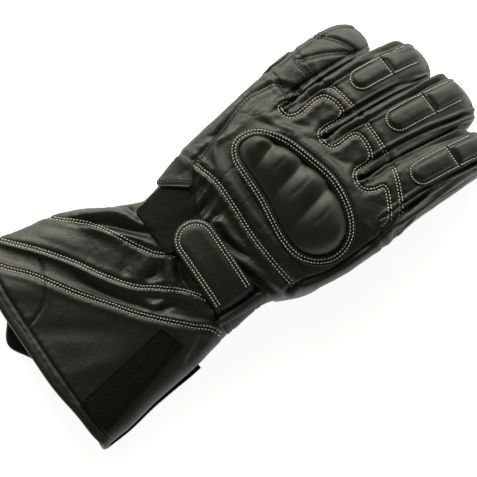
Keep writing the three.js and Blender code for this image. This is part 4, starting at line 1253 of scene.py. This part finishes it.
def finger_pad(entry, part):
    """One section of a strip: the base is round at its start, the tip narrows at its end."""
    start, forward, sideways, total, cut, half = pad_line(entry)
    begin, stop = (0.05, cut - CROSS_GAP) if part == "base" else (cut + CROSS_GAP, total)
    t = np.linspace(begin, stop, int((stop - begin) / PAD_STEP) + 2)
    width = np.full(t.shape, float(half + PAD_EDGE))
    if part == "base":
        t = begin + (stop - begin) * (1 - np.cos(np.linspace(0, math.pi / 2, len(t))))
        width *= np.sqrt(np.clip(1 - (1 - t / half).clip(0, 1) ** 2, 0.0004, 1))
    else:
        width *= np.sqrt(np.clip(1 - ((t - stop + TIP_ROUND[0]) / TIP_ROUND[1]).clip(0, 1) ** 2, 0, 1))
    s = np.sin(np.linspace(-math.pi / 2, math.pi / 2, PAD_COLUMNS))
    place = start + t[:, None, None] * forward + (s[None, :, None] * width[:, None, None]) * sideways
    laid = land(skin_tree, place[..., 0], place[..., 1])
    edge = (1 - np.abs(s))[None, :] * width[:, None]
    if part == "base":
        ring = half + PAD_EDGE - np.hypot(s[None, :] * width[:, None], np.clip(half - t[:, None], 0, None))
        edge = np.minimum(edge, np.clip(ring, 0, None))
    else:
        edge = np.minimum(edge, t[:, None] - begin + END_INSET)
    edge = np.minimum(edge, np.abs(t - stop)[:, None] + END_INSET)
    up = grid_normals(laid)
    points, faces = sheet_body(laid + up * pad_height(edge)[..., None], laid - up * SINK)
    obj = put(f"padded_{entry[0]}_{part}", points, faces, drum_dyed_leather)
    dressed(obj, f"{entry[0]}_{part}_pad")
    return tree_of(points, faces)


pad_trees = {(entry[0], part): finger_pad(entry, part) for entry in FINGER_PADS for part in ("base", "tip")}
print("pads", len(pad_trees))

# %% [markdown]
# ## Patches and tab
# The looped patches and the end tab are flat pieces sewn on top of the leather. A flat outline with
# rounded corners is filled by rings that shrink to its middle, laid on the skin and lifted by a thickness
# that falls off at the cut edge.

# %% Patches
def rounded(outline, spacing=0.8, rounds=5):
    """A closed outline at even steps with its corners softened."""
    line = even(outline, spacing, closed=True)
    for _ in range(rounds):
        line = 0.5 * line + 0.25 * (np.roll(line, 1, 0) + np.roll(line, -1, 0))
    return line


# distances of a plate's outer rings from its cut edge, then the step between the inner ones
EDGE_RINGS = [0, 0.25, 0.6, 1.0, 1.5, 2.1, 2.8]
RING_APART = 1.1
PLATE_SINK = 0.6
PLATE_EDGE = 0.7        # width of the rounding at the cut edge
ROW_DENT = 0.28


def plate(name, outline, thickness, material, lift=0.0, row=1.8, ripple=0.0, smoothing=6):
    """A flat patch laid on the skin, with a dent along its row of stitches."""
    line = rounded(outline)
    middle = line.mean(0)
    radius = np.hypot(*(line - middle).T).mean()
    inner = np.arange(EDGE_RINGS[-1] + 1, radius * 0.86, RING_APART)
    shrink = 1 - np.concatenate([EDGE_RINGS, inner]) / radius
    places = middle + (line - middle)[None] * shrink[:, None, None]
    flat = np.vstack([places.reshape(-1, 2), middle])
    laid = land(skin_tree, flat[:, 0], flat[:, 1])
    count, rings = len(line), len(shrink)
    i = np.arange(count)
    last = (rings - 1) * count
    hub = np.full(count, rings * count)
    fan = np.stack([last + (i + 1) % count, last + i, hub, hub], -1)
    faces = np.vstack([grid_faces(rings, count, wrap_columns=True), fan])
    laid[:, 2] = relaxed(laid, faces, smoothing)[:, 2]
    up = unit(relaxed(normals_of(laid, faces), faces, 6))
    up = up * np.sign(up[:, 2].mean())
    edge = np.abs(measured(line, flat[:, 0], flat[:, 1], 40, closed=True)[0])
    high = thickness * (0.3 + 0.7 * rolled(edge, PLATE_EDGE)) - ROW_DENT * bell(edge - row, 0.5)
    if ripple:
        high = high + ripple * hills(laid, 6.0, 1.3)
    points = np.vstack([laid + up * (lift + high)[:, None], laid - up * PLATE_SINK])
    total = len(laid)
    walls = np.stack([i, (i + 1) % count, (i + 1) % count + total, i + total], -1)
    cut = triangles(np.vstack([faces, faces[:, ::-1] + total, walls]))
    proper = (cut[:, 0] != cut[:, 1]) & (cut[:, 1] != cut[:, 2]) & (cut[:, 0] != cut[:, 2])
    cut = facing_out(points, cut[proper])
    return put(name, points, cut, material), tree_of(points, cut), line


CUFF_PATCH = [(42.5, -146.3), (33, -82), (49.5, -76.5), (65.5, -143)]
WRIST_PATCH = [(-38, -34), (-34, -56), (1, -56), (2, -30), (-25, -20)]
END_TAB = [(-41, -34.5), (-46, -18), (-45, -12.5), (-36, -12), (-25, -20.5), (-37, -35)]
TAB_EDGE = [(-40.5, -35.5), (-26, -19.5)]
cuff_patch, cuff_patch_tree, cuff_patch_line = plate(
    "looped_patch_cuff", CUFF_PATCH, 1.4, loop_tape, row=2.2, ripple=0.06)
dressed(cuff_patch, "cuff_loop_patch")
wrist_patch, wrist_patch_tree, wrist_patch_line = plate(
    "looped_patch_wrist", WRIST_PATCH, 1.3, loop_tape, lift=1.4, ripple=0.1, smoothing=14)
dressed(wrist_patch, "wrist_loop_patch")
end_tab, end_tab_tree, _ = plate(
    "strap_end_tab_leather", END_TAB, 1.5, drum_dyed_leather, lift=2.6, row=1.4, smoothing=10)
dressed(end_tab, "strap_end_tab")
print("patches with", len(cuff_patch_line), "and", len(wrist_patch_line), "points round them")

# %% [markdown]
# ## Strap and keeper
# The strap is folded leather with two rows of stitches round its edge. It comes out of a keeper on the
# thumb side, crosses the wrist and presses on the looped patch with its rounded end. It follows the
# wrist's round section at a fixed height, so it is a grid over that section.

# %% Strap
STRAP_LOW = 3.0
STRAP_THICK = 2.3
STRAP_ROWS = (1.6, 3.7)
STRAP_ACROSS, STRAP_ALONG = 50, 130
STRAP_FOLD = 5.4        # inside this distance from the edge the strap is a little thicker
SLOT_X = 44.3           # past this the strap dives into the keeper's slot
STRAP_DIP = 4.6
WRIST_MIDDLE = np.array([5, STRAP["y"], 25.0])


def angle_at(x, y, below=False):
    """Angle of the section at which the surface has this x."""
    middle, _, half_x, _ = section(HAND, y, STRAP_LOW)
    c = np.clip((x - middle) / half_x, -1, 1)
    angle = np.arccos(np.sign(c) * np.abs(c) ** (SQUARENESS / 2))
    return -angle if below else angle


s = np.sin(np.linspace(-math.pi / 2, math.pi / 2, STRAP_ACROSS))
strap_y = STRAP["y"] + STRAP["half"] * s
strap_start = STRAP["tip_x"] - np.sqrt(np.clip(STRAP["half"] ** 2 - (strap_y - STRAP["y"]) ** 2, 0, None))
first_angle = angle_at(strap_start, strap_y)
last_angle = angle_at(np.full(strap_y.shape, STRAP["root_x"]), strap_y, below=True)
t = np.linspace(0, 1, STRAP_ALONG)
t = 0.7 * t + 0.3 * (1 - np.cos(t * math.pi / 2))
strap_angle = first_angle + (last_angle - first_angle) * t[:, None]
strap_places = strap_y[None, :] + 0 * strap_angle
strap_x = around(HAND, strap_places, strap_angle, STRAP_LOW)[..., 0]
strap_dip = np.maximum.accumulate(STRAP_DIP * step_up(strap_x - SLOT_X, 0.22), axis=0)
strap_under = around(HAND, strap_places, strap_angle, STRAP_LOW - strap_dip)
side_edge = ((1 - np.abs(s)) * STRAP["half"])[None, :]
tip_edge = STRAP["half"] - np.hypot(strap_under[..., 0] - STRAP["tip_x"], strap_places - STRAP["y"])
in_tip = (strap_under[..., 0] < STRAP["tip_x"]) & (strap_angle >= 0)
strap_edge = np.where(in_tip, np.clip(tip_edge, 0, None), side_edge)
strap_high = STRAP_THICK * (0.35 + 0.65 * rolled(strap_edge, 1.2))
strap_high -= 0.3 * sum(bell(strap_edge - row, 0.55) for row in STRAP_ROWS)
strap_high += 0.7 * step_up(strap_edge - STRAP_FOLD, 0.6)
strap_up = grid_normals(strap_under, 2)
strap_up *= np.sign(np.einsum("ijk,ijk->ij", strap_up, strap_under - WRIST_MIDDLE))[..., None]
strap_points, strap_faces = sheet_body(strap_under + strap_up * strap_high[..., None], strap_under)
strap = put("folded_leather_strap", strap_points, strap_faces, drum_dyed_leather)
dressed(strap, "wrist_strap")
# The strap's faces past the slot's edge take the darker matte leather as painted shade inside the keeper's
# slot
strap.data.materials.append(matte_leather_and_slot_shade)
slot_shade_faces = strap_points[strap_faces].mean(1)[:, 0] > SLOT_X + 0.1
strap.data.polygons.foreach_set("material_index", slot_shade_faces.astype(np.int32))
strap_tree = tree_of(strap_points, strap_faces)
print("strap from", strap_points[:, 0].min().round(1), "to", strap_points[:, 0].max().round(1), "mm")

# %% Keeper
KEEPER_THICK = 2.1
KEEPER_LEG = 3.2
KEEPER_INSET = 2.0      # the rolled bar is narrower than the keeper's solid, which leaves the slot open
KEEPER_OUT = 0.6
KEEPER_FOOT, KEEPER_BRIDGE = 1.0, 4.9       # height of the bar's underside at its legs and over the strap
u, v = np.meshgrid(np.linspace(-1, 1, 61), np.linspace(0, 1, 17), indexing="ij")
keeper_half = STRAP["half"] + KEEPER_LEG
keeper_y = STRAP["y"] + keeper_half * u
keeper_start = KEEPER["from_x"] + KEEPER_INSET
keeper_x = keeper_start + (KEEPER["to_x"] + KEEPER_OUT - keeper_start) * v
over = step_up(STRAP["half"] + 1.2 - np.abs(u) * keeper_half, 0.35)
bridge = KEEPER_FOOT + (KEEPER_BRIDGE - KEEPER_FOOT) * over
roll = np.sqrt(np.clip(1 - (2 * v - 1) ** 2, 0.02, 1))
keeper_low = np.stack([keeper_x, keeper_y, top_height(keeper_x, keeper_y) + bridge], -1)
keeper_up = grid_normals(keeper_low, 2)
keeper_top = keeper_low + keeper_up * (KEEPER_THICK * (0.15 + 0.85 * roll))[..., None]
keeper = put("strap_keeper_loop", *sheet_body(keeper_top, keeper_low), matte_leather_and_slot_shade)
dressed(keeper, "strap_keeper")
print("keeper spans", round(2 * keeper_half, 1), "mm")

# %% [markdown]
# ## Hem, flap and side pad
# The open edge of the cuff is bound with a folded strip of leather, a rounded tube swept round the
# opening. The closure flap hangs on the thumb side and only its edge shows. The small oval pad on the
# little finger's side takes the scuffs.

# %% Hem binding
HEM_PROUD = 0.9
HEM_SIDES, HEM_LOOP = 300, 20
HEM_POWER = 0.7         # the folded strip's section is a rounded rectangle


def squared(wave):
    return np.sign(wave) * np.abs(wave) ** HEM_POWER


loop_angle = np.linspace(0, 2 * math.pi, HEM_LOOP, endpoint=False)
ha, la = np.meshgrid(np.linspace(0, 2 * math.pi, HEM_SIDES, endpoint=False), loop_angle, indexing="ij")
hem_grow = -WALL / 2 + (WALL / 2 + HEM_PROUD) * squared(np.sin(la))
hem_edge = around(HAND, np.full(ha.shape, HEM_Y), ha)
hem_places = hem_y(hem_edge[..., 0], hem_edge[..., 2]) + HEM_BAND / 2 * (1 + squared(np.cos(la)))
hem_points = around(HAND, hem_places, ha, hem_grow)
hem_points[..., 2] += 0.125 * np.sin(ha * 23 + 2 * np.sin(ha * 5)) * np.sign(np.sin(ha))
hem_points[..., 1] += 0.35 * np.sin(ha * 9)
hem_points[..., 2] = np.maximum(hem_points[..., 2], 0)
hem_flat = hem_points.reshape(-1, 3)
hem_faces = facing_out(hem_flat, grid_faces(HEM_SIDES, HEM_LOOP, wrap_rows=True, wrap_columns=True))
dressed(put("folded_hem_binding", hem_flat, hem_faces, drum_dyed_leather), "hem_binding")
print("hem from", hem_flat[:, 1].min().round(1), "to", hem_flat[:, 1].max().round(1), "mm")

# %% Closure flap
# places along the cuff, angles round it, how far the lip stands out and up, thickness, gap to the cuff
FLAP = {"from": -147.0, "to": -74.0, "start": -58.0, "end": -22.0, "reach": 2.4, "lift": 3.0, "thick": 2.2,
        "gap": HEM_PROUD + 0.2}
fyy, faa = np.meshgrid(np.linspace(FLAP["from"], FLAP["to"], 74),
                       np.radians(np.linspace(FLAP["start"], FLAP["end"], 30)), indexing="ij")
lip = np.linspace(0, 1, 7)[1:]
flap_lip = np.stack([FLAP["reach"] * lip, 0 * lip, FLAP["lift"] * lip], -1)[None]


def flap_side(grow):
    """One side of the flap: it hugs the cuff and then turns out into its lip."""
    hugging = around(HAND, fyy, faa, grow)
    return np.concatenate([hugging, hugging[:, -1:, :] + flap_lip], 1)


flap_inner, flap_outer = flap_side(FLAP["gap"]), flap_side(FLAP["gap"] + FLAP["thick"])
flap_middle = (flap_inner + flap_outer) / 2
taper = np.sqrt(np.clip(1 - np.linspace(-1, 1, flap_middle.shape[1]) ** 12, 0.05, 1))[None, :, None]
flap_points, flap_faces = sheet_body(
    flap_middle + (flap_outer - flap_middle) * taper, flap_middle + (flap_inner - flap_middle) * taper)
flap_points[:, 2] = np.maximum(flap_points[:, 2], 0)
dressed(put("closure_flap_leather", flap_points, flap_faces, drum_dyed_leather), "closure_flap")
print("flap", FLAP["to"] - FLAP["from"], "mm long")

# %% Side pad
SIDE_PAD = {"y": 67.0, "z": 33.5, "half_y": 12.0, "half_z": 7.5, "thick": 1.7}
SIDE_RINGS, SIDE_TURNS = 16, 72
side_turn = np.linspace(0, 2 * math.pi, SIDE_TURNS, endpoint=False)
pr, pa = np.meshgrid(np.linspace(1, 0.02, SIDE_RINGS), side_turn, indexing="ij")
side_y = SIDE_PAD["y"] + SIDE_PAD["half_y"] * pr * np.cos(pa)
side_z = SIDE_PAD["z"] + SIDE_PAD["half_z"] * pr * np.sin(pa)
side_laid = []
for py, pz in zip(side_y.ravel(), side_z.ravel()):
    hit = skin_tree.ray_cast(Vector((-120, py, pz)), Vector((1, 0, 0)))[0]
    side_laid.append(hit if hit else skin_tree.find_nearest(Vector((-60, py, pz)))[0])
side_laid = relaxed(np.array(side_laid, float), grid_faces(SIDE_RINGS, SIDE_TURNS, wrap_columns=True), 4)
inset = (1 - pr.ravel()) * SIDE_PAD["half_z"]
side_high = SIDE_PAD["thick"] * (0.25 + 0.75 * (1 - np.exp(-inset / 0.8))) - 0.25 * bell(inset - 1.5, 0.45)
side_out = unit(np.array([-0.9, 0.0, 0.35]))
side_top = (side_laid + side_high[:, None] * side_out).reshape(SIDE_RINGS, SIDE_TURNS, 3)
side_low = (side_laid - SINK * side_out).reshape(SIDE_RINGS, SIDE_TURNS, 3)
side_pad = put("scuff_pad_side", *tube(np.concatenate([side_low[::-1], side_top], 0)), drum_dyed_leather)
dressed(side_pad, "outer_side_pad")
print("side pad", 2 * SIDE_PAD["half_y"], "by", 2 * SIDE_PAD["half_z"], "mm")

# %% [markdown]
# ## Stitches
# A lockstitch shows as short stitches with a small gap between them, each rising out of one needle hole
# and dipping into the next. One small curved capsule is copied along every row by arrays: points along
# the row, dropped on the leather, give each copy its place, its direction and its up.

# %% Sew the rows
PITCH = 2.0
STITCH_LENGTH = 1.55
STITCH_THICK = 0.64
PAD_PITCH = 1.8
CUT_EDGE_AND_SHADE_PITCH, CUT_EDGE_AND_SHADE = 1.5, 0.6     # a dark row between two pale rows: the seam's frayed cut edge, and painted shade in the seam's crevice
SIDES, RINGS = 6, 4


def capsule():
    """One stitch lying along x, with both ends dipping into the leather."""
    u = np.cos(np.linspace(math.pi, 0, RINGS + 2))
    turn = np.linspace(0, 2 * math.pi, SIDES, endpoint=False)
    rings = []
    for place in u[1:-1]:
        radius = 0.5 * (1 - abs(place) ** 3) ** 0.5
        rings.append(np.stack([np.full(SIDES, place / 2), radius * np.cos(turn), radius * np.sin(turn)], -1))
    return tube(np.array(rings))


stitch_points, stitch_faces = capsule()
sewn_rows = {"pale": [], "black": []}


def sew(colour, line, tree, pitch=PITCH, closed=False, thick=STITCH_THICK):
    """Stitches along a line of points seen from above."""
    rows = even(line, pitch, closed)
    ahead = np.roll(rows, -1, 0) if closed else rows[1:]
    starts = rows if closed else rows[:-1]
    mid = (starts + ahead) / 2
    a, b, m = (land(tree, p[:, 0], p[:, 1]) for p in (starts, ahead, mid))
    forward = b - a
    span = np.linalg.norm(forward, axis=1)
    fair = span < pitch * 2.2
    a, b, m, forward, span = a[fair], b[fair], m[fair], forward[fair], span[fair]
    forward = forward / span[:, None]
    up = np.array([tree.find_nearest(Vector(p))[1] for p in m], float)
    up = unit(up - np.einsum("ij,ij->i", up, forward)[:, None] * forward)
    up[up[:, 2] < 0] *= -1
    side = np.cross(up, forward)
    length = STITCH_LENGTH * span / PITCH
    crown = thick * (0.32 - 0.7 * (2 * stitch_points[:, 0]) ** 2)
    body = (m[:, None, :]
            + forward[:, None, :] * (stitch_points[None, :, 0, None] * length[:, None, None])
            + side[:, None, :] * (stitch_points[None, :, 1, None] * thick)
            + up[:, None, :] * ((stitch_points[:, 2] * thick * 0.9 + crown)[None, :, None]))
    sewn_rows[colour].append(body.reshape(-1, 3))


def clipped(line, keep):
    """The stretch of a line whose points pass the test."""
    return line[keep(line[:, 0], line[:, 1])]


def on_upper(x, y):
    middle, _, half_x, _ = section(HAND, y)
    return np.abs(x - middle) < half_x * 0.97


def uncovered(x, y):
    """Where the cuff's seams show, outside the strap and the wrist's looped patch."""
    under_strap = (y > STRAP["y"] - STRAP["half"] - 1.3) & (x > -12)
    return on_upper(x, y) & ~under_strap & ~within(WRIST_PATCH, x, y)


def between(low, high):
    """A test that keeps what lies between two places across the glove."""
    return lambda x, y: (x > low) & (x < high)


def double(colour, line, tree, keep):
    """Two rows beside a seam, and between pale rows a dark row: the seam's cut edge and painted shade in its
    crevice.
    """
    for row in DOUBLE_ROW:
        sew(colour, clipped(beside(line, row), keep), tree)
    if colour == "pale":
        sew("black", clipped(line, keep), tree, CUT_EDGE_AND_SHADE_PITCH, thick=CUT_EDGE_AND_SHADE)


for line in (CUFF_LINE_3, CUFF_LINE_2, CUFF_LINE_1):
    double("pale", curve(line, 1.0), skin_tree, uncovered)
double("pale", curve(WRIST_LINE, 1.0), skin_tree, between(-38, 57))
double("pale", curve(ZIGZAG, 0.8), skin_tree, between(-38.5, 58))
for low, high in ((-31, -10), (0.5, 23.5), (32, 58)):
    double("pale", curve(BASE_LINE, 0.8), skin_tree, between(low, high))
for row in TRIM_ROWS:
    sew("pale", beside(guard_outline, -row, True), trim_tree, closed=True)
# Between the flange's two pale rows a dark row: its cut edge and painted shade between the rows
trim_middle = beside(guard_outline, -sum(TRIM_ROWS) / 2, True)
sew("black", trim_middle, trim_tree, CUT_EDGE_AND_SHADE_PITCH, closed=True, thick=CUT_EDGE_AND_SHADE)

# %% Sew the strap and the finger pads
STRAP_END, STRAP_SEWN = 56, 43.5        # x where the strap's outline ends, and where its stitches end
CROSS_CLEAR, CROSS_ROW = 0.6, 0.9       # distances from the cross seam to the rows' ends and to its own row
strap_line = even(np.vstack([
    [(STRAP_END, STRAP["y"] - STRAP["half"])],
    [(STRAP["tip_x"] + STRAP["half"] * math.cos(a), STRAP["y"] + STRAP["half"] * math.sin(a))
     for a in np.linspace(1.5 * math.pi, 0.5 * math.pi, 30)],
    [(STRAP_END, STRAP["y"] + STRAP["half"])],
]), 0.8)
for row in STRAP_ROWS:
    sew("pale", clipped(beside(strap_line, -row), lambda x, y: x < STRAP_SEWN), strap_tree, PAD_PITCH)
for entry in FINGER_PADS:
    start, forward, sideways, total, cut, half = pad_line(entry)
    base_tree, tip_tree = pad_trees[entry[0], "base"], pad_trees[entry[0], "tip"]
    row = half + PAD_EDGE - PAD_ROW
    turn = np.linspace(math.pi / 2, -math.pi / 2, 20)
    bend = [start + forward * (half - row * math.cos(a)) + sideways * row * math.sin(a) for a in turn]
    base_end = start + forward * (cut - CROSS_CLEAR)
    base_row = np.vstack([[base_end + sideways * row], bend, [base_end - sideways * row]])
    sew("pale", base_row, base_tree, PAD_PITCH)
    for side in (-1, 1):
        ends = (cut + CROSS_CLEAR, total - TIP_ROUND[0])
        edge_row = np.array([start + forward * t + sideways * side * row for t in ends])
        sew("pale", edge_row, tip_tree, PAD_PITCH)
    cross_row = np.array([start + forward * (cut - CROSS_ROW) + sideways * k * (row - 1) for k in (-1, 1)])
    sew("pale", cross_row, base_tree, PAD_PITCH)

# %% Sew the black rows
double("black", curve(SIDE_EDGE, 1.0), skin_tree, lambda x, y: y > -6)
double("black", curve(LITTLE_SEAM, 0.8), skin_tree, lambda x, y: y > 0)
sew("black", curve(HEM_ROW, 1.0), skin_tree)
sew("black", curve(CUFF_ARC, 1.0), skin_tree)
sew("black", beside(wrist_patch_line, 1.8, True), wrist_patch_tree, closed=True)
for inset in (1.3, 2.8):
    sew("black", beside(np.array(TAB_EDGE, float), inset), end_tab_tree, PAD_PITCH)
inward_row = 2.2 if cuff_patch_line[0, 1] < cuff_patch_line[1, 1] else -2.2
sew("black", beside(cuff_patch_line, inward_row, True), cuff_patch_tree, closed=True)

for colour, material in (("pale", pale_thread), ("black", black_thread)):
    points = np.vstack(sewn_rows[colour])
    copies = len(points) // len(stitch_points)
    faces = (stitch_faces[None] + np.arange(copies)[:, None, None] * len(stitch_points)).reshape(-1, 3)
    obj = put(colour + "_stitches", points, faces, material)
    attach(obj, "root")
    print(colour, "stitches", copies, "triangles", len(faces))

# %% [markdown]
# ## Floor and light
# The glove lies on a white sweep, lit like a product picture: large soft lamps behind and beside it, so
# that the black leather shows broad grey sheens on the sides that face them and keeps its depth elsewhere.

# %% Floor, world and lamps
FLOOR_SIZE = 4.0
FLOOR_GLOW = 0.86       # the sweep is lit from below too, so its own shadows stay thin
corners = np.array([(-1, -1, 0), (1, -1, 0), (1, 1, 0), (-1, 1, 0)], float)
floor = put("floor", corners * FLOOR_SIZE / 2 / MM - SHIFT, [(0, 1, 2, 3)])
white_sweep, tree, sweep, place = new_material("white_paper_sweep")
paper = add(tree, "TexNoise", {"Scale": per_mm(1.5), "Detail": 3.0}, {"Vector": place})
paper_relief = add(tree, "Bump", {"Strength": 0.05, "Distance": 0.1 * MM}, {"Height": paper.outputs["Fac"]})
tree.links.new(paper_relief.outputs["Normal"], sweep.inputs["Normal"])
set_sockets(sweep, Base_Color=linear("#f7f7f6"), Roughness=0.9, Emission_Color=(1, 1, 1, 1),
            Emission_Strength=FLOOR_GLOW)
floor.data.materials.append(white_sweep)

# where each box stands, how wide it is (degrees, inside and outside its soft edge), its light
BOXES = [
    ((-0.84, 0.40, 0.36), 16, 44, 2.2),
    ((-0.50, 0.84, 0.22), 14, 38, 1.4),
    ((0.75, -0.60, 0.25), 10, 50, 0.16),
    ((0.60, 0.75, 0.30), 10, 45, 0.12),
]
ROOM_LIGHT = 0.065
WARM = (1.0, 0.975, 0.82)

world = bpy.data.worlds.new("studio")
world.use_nodes = True
sky = world.node_tree
direction = add(sky, "TexCoord").outputs["Generated"]
total = add(sky, "Value").outputs[0]
total.default_value = ROOM_LIGHT
for place, inside, outside, light in BOXES:
    towards = add(sky, "VectorMath", {1: Vector(place).normalized()}, {0: direction}, operation="DOT_PRODUCT")
    box_light = add(sky, "MapRange", {"From Min": math.cos(math.radians(outside)),
                                      "From Max": math.cos(math.radians(inside)), "To Max": light},
                    {"Value": towards.outputs["Value"]}, interpolation_type="SMOOTHSTEP")
    total = add(sky, "Math", None, {0: total, 1: box_light.outputs["Result"]}, operation="ADD").outputs[0]
sky.links.new(total, sky.nodes["Background"].inputs["Strength"])
sky.nodes["Background"].inputs["Color"].default_value = WARM + (1.0,)
bpy.context.scene.world = world

# name, where it stands, size, watts
LAMPS = [
    ("lamp_far", (-0.75, 1.25, 0.42), 0.6, 5.0),
    ("lamp_left", (-1.3, 0.3, 0.8), 0.7, 13.0),
    ("lamp_near", (1.1, -0.7, 1.5), 1.2, 1.0),
]
for name, place, size, watts in LAMPS:
    lamp_data = bpy.data.lights.new(name, "AREA")
    lamp_data.shape = "SQUARE"
    lamp_data.size = size
    lamp_data.energy = watts
    lamp_data.color = WARM
    lamp = bpy.data.objects.new(name, lamp_data)
    lamp.location = place
    lamp.rotation_euler = Vector(place).to_track_quat("Z", "Y").to_euler()
    bpy.context.scene.collection.objects.link(lamp)
bpy.context.scene.view_settings.view_transform = "Standard"
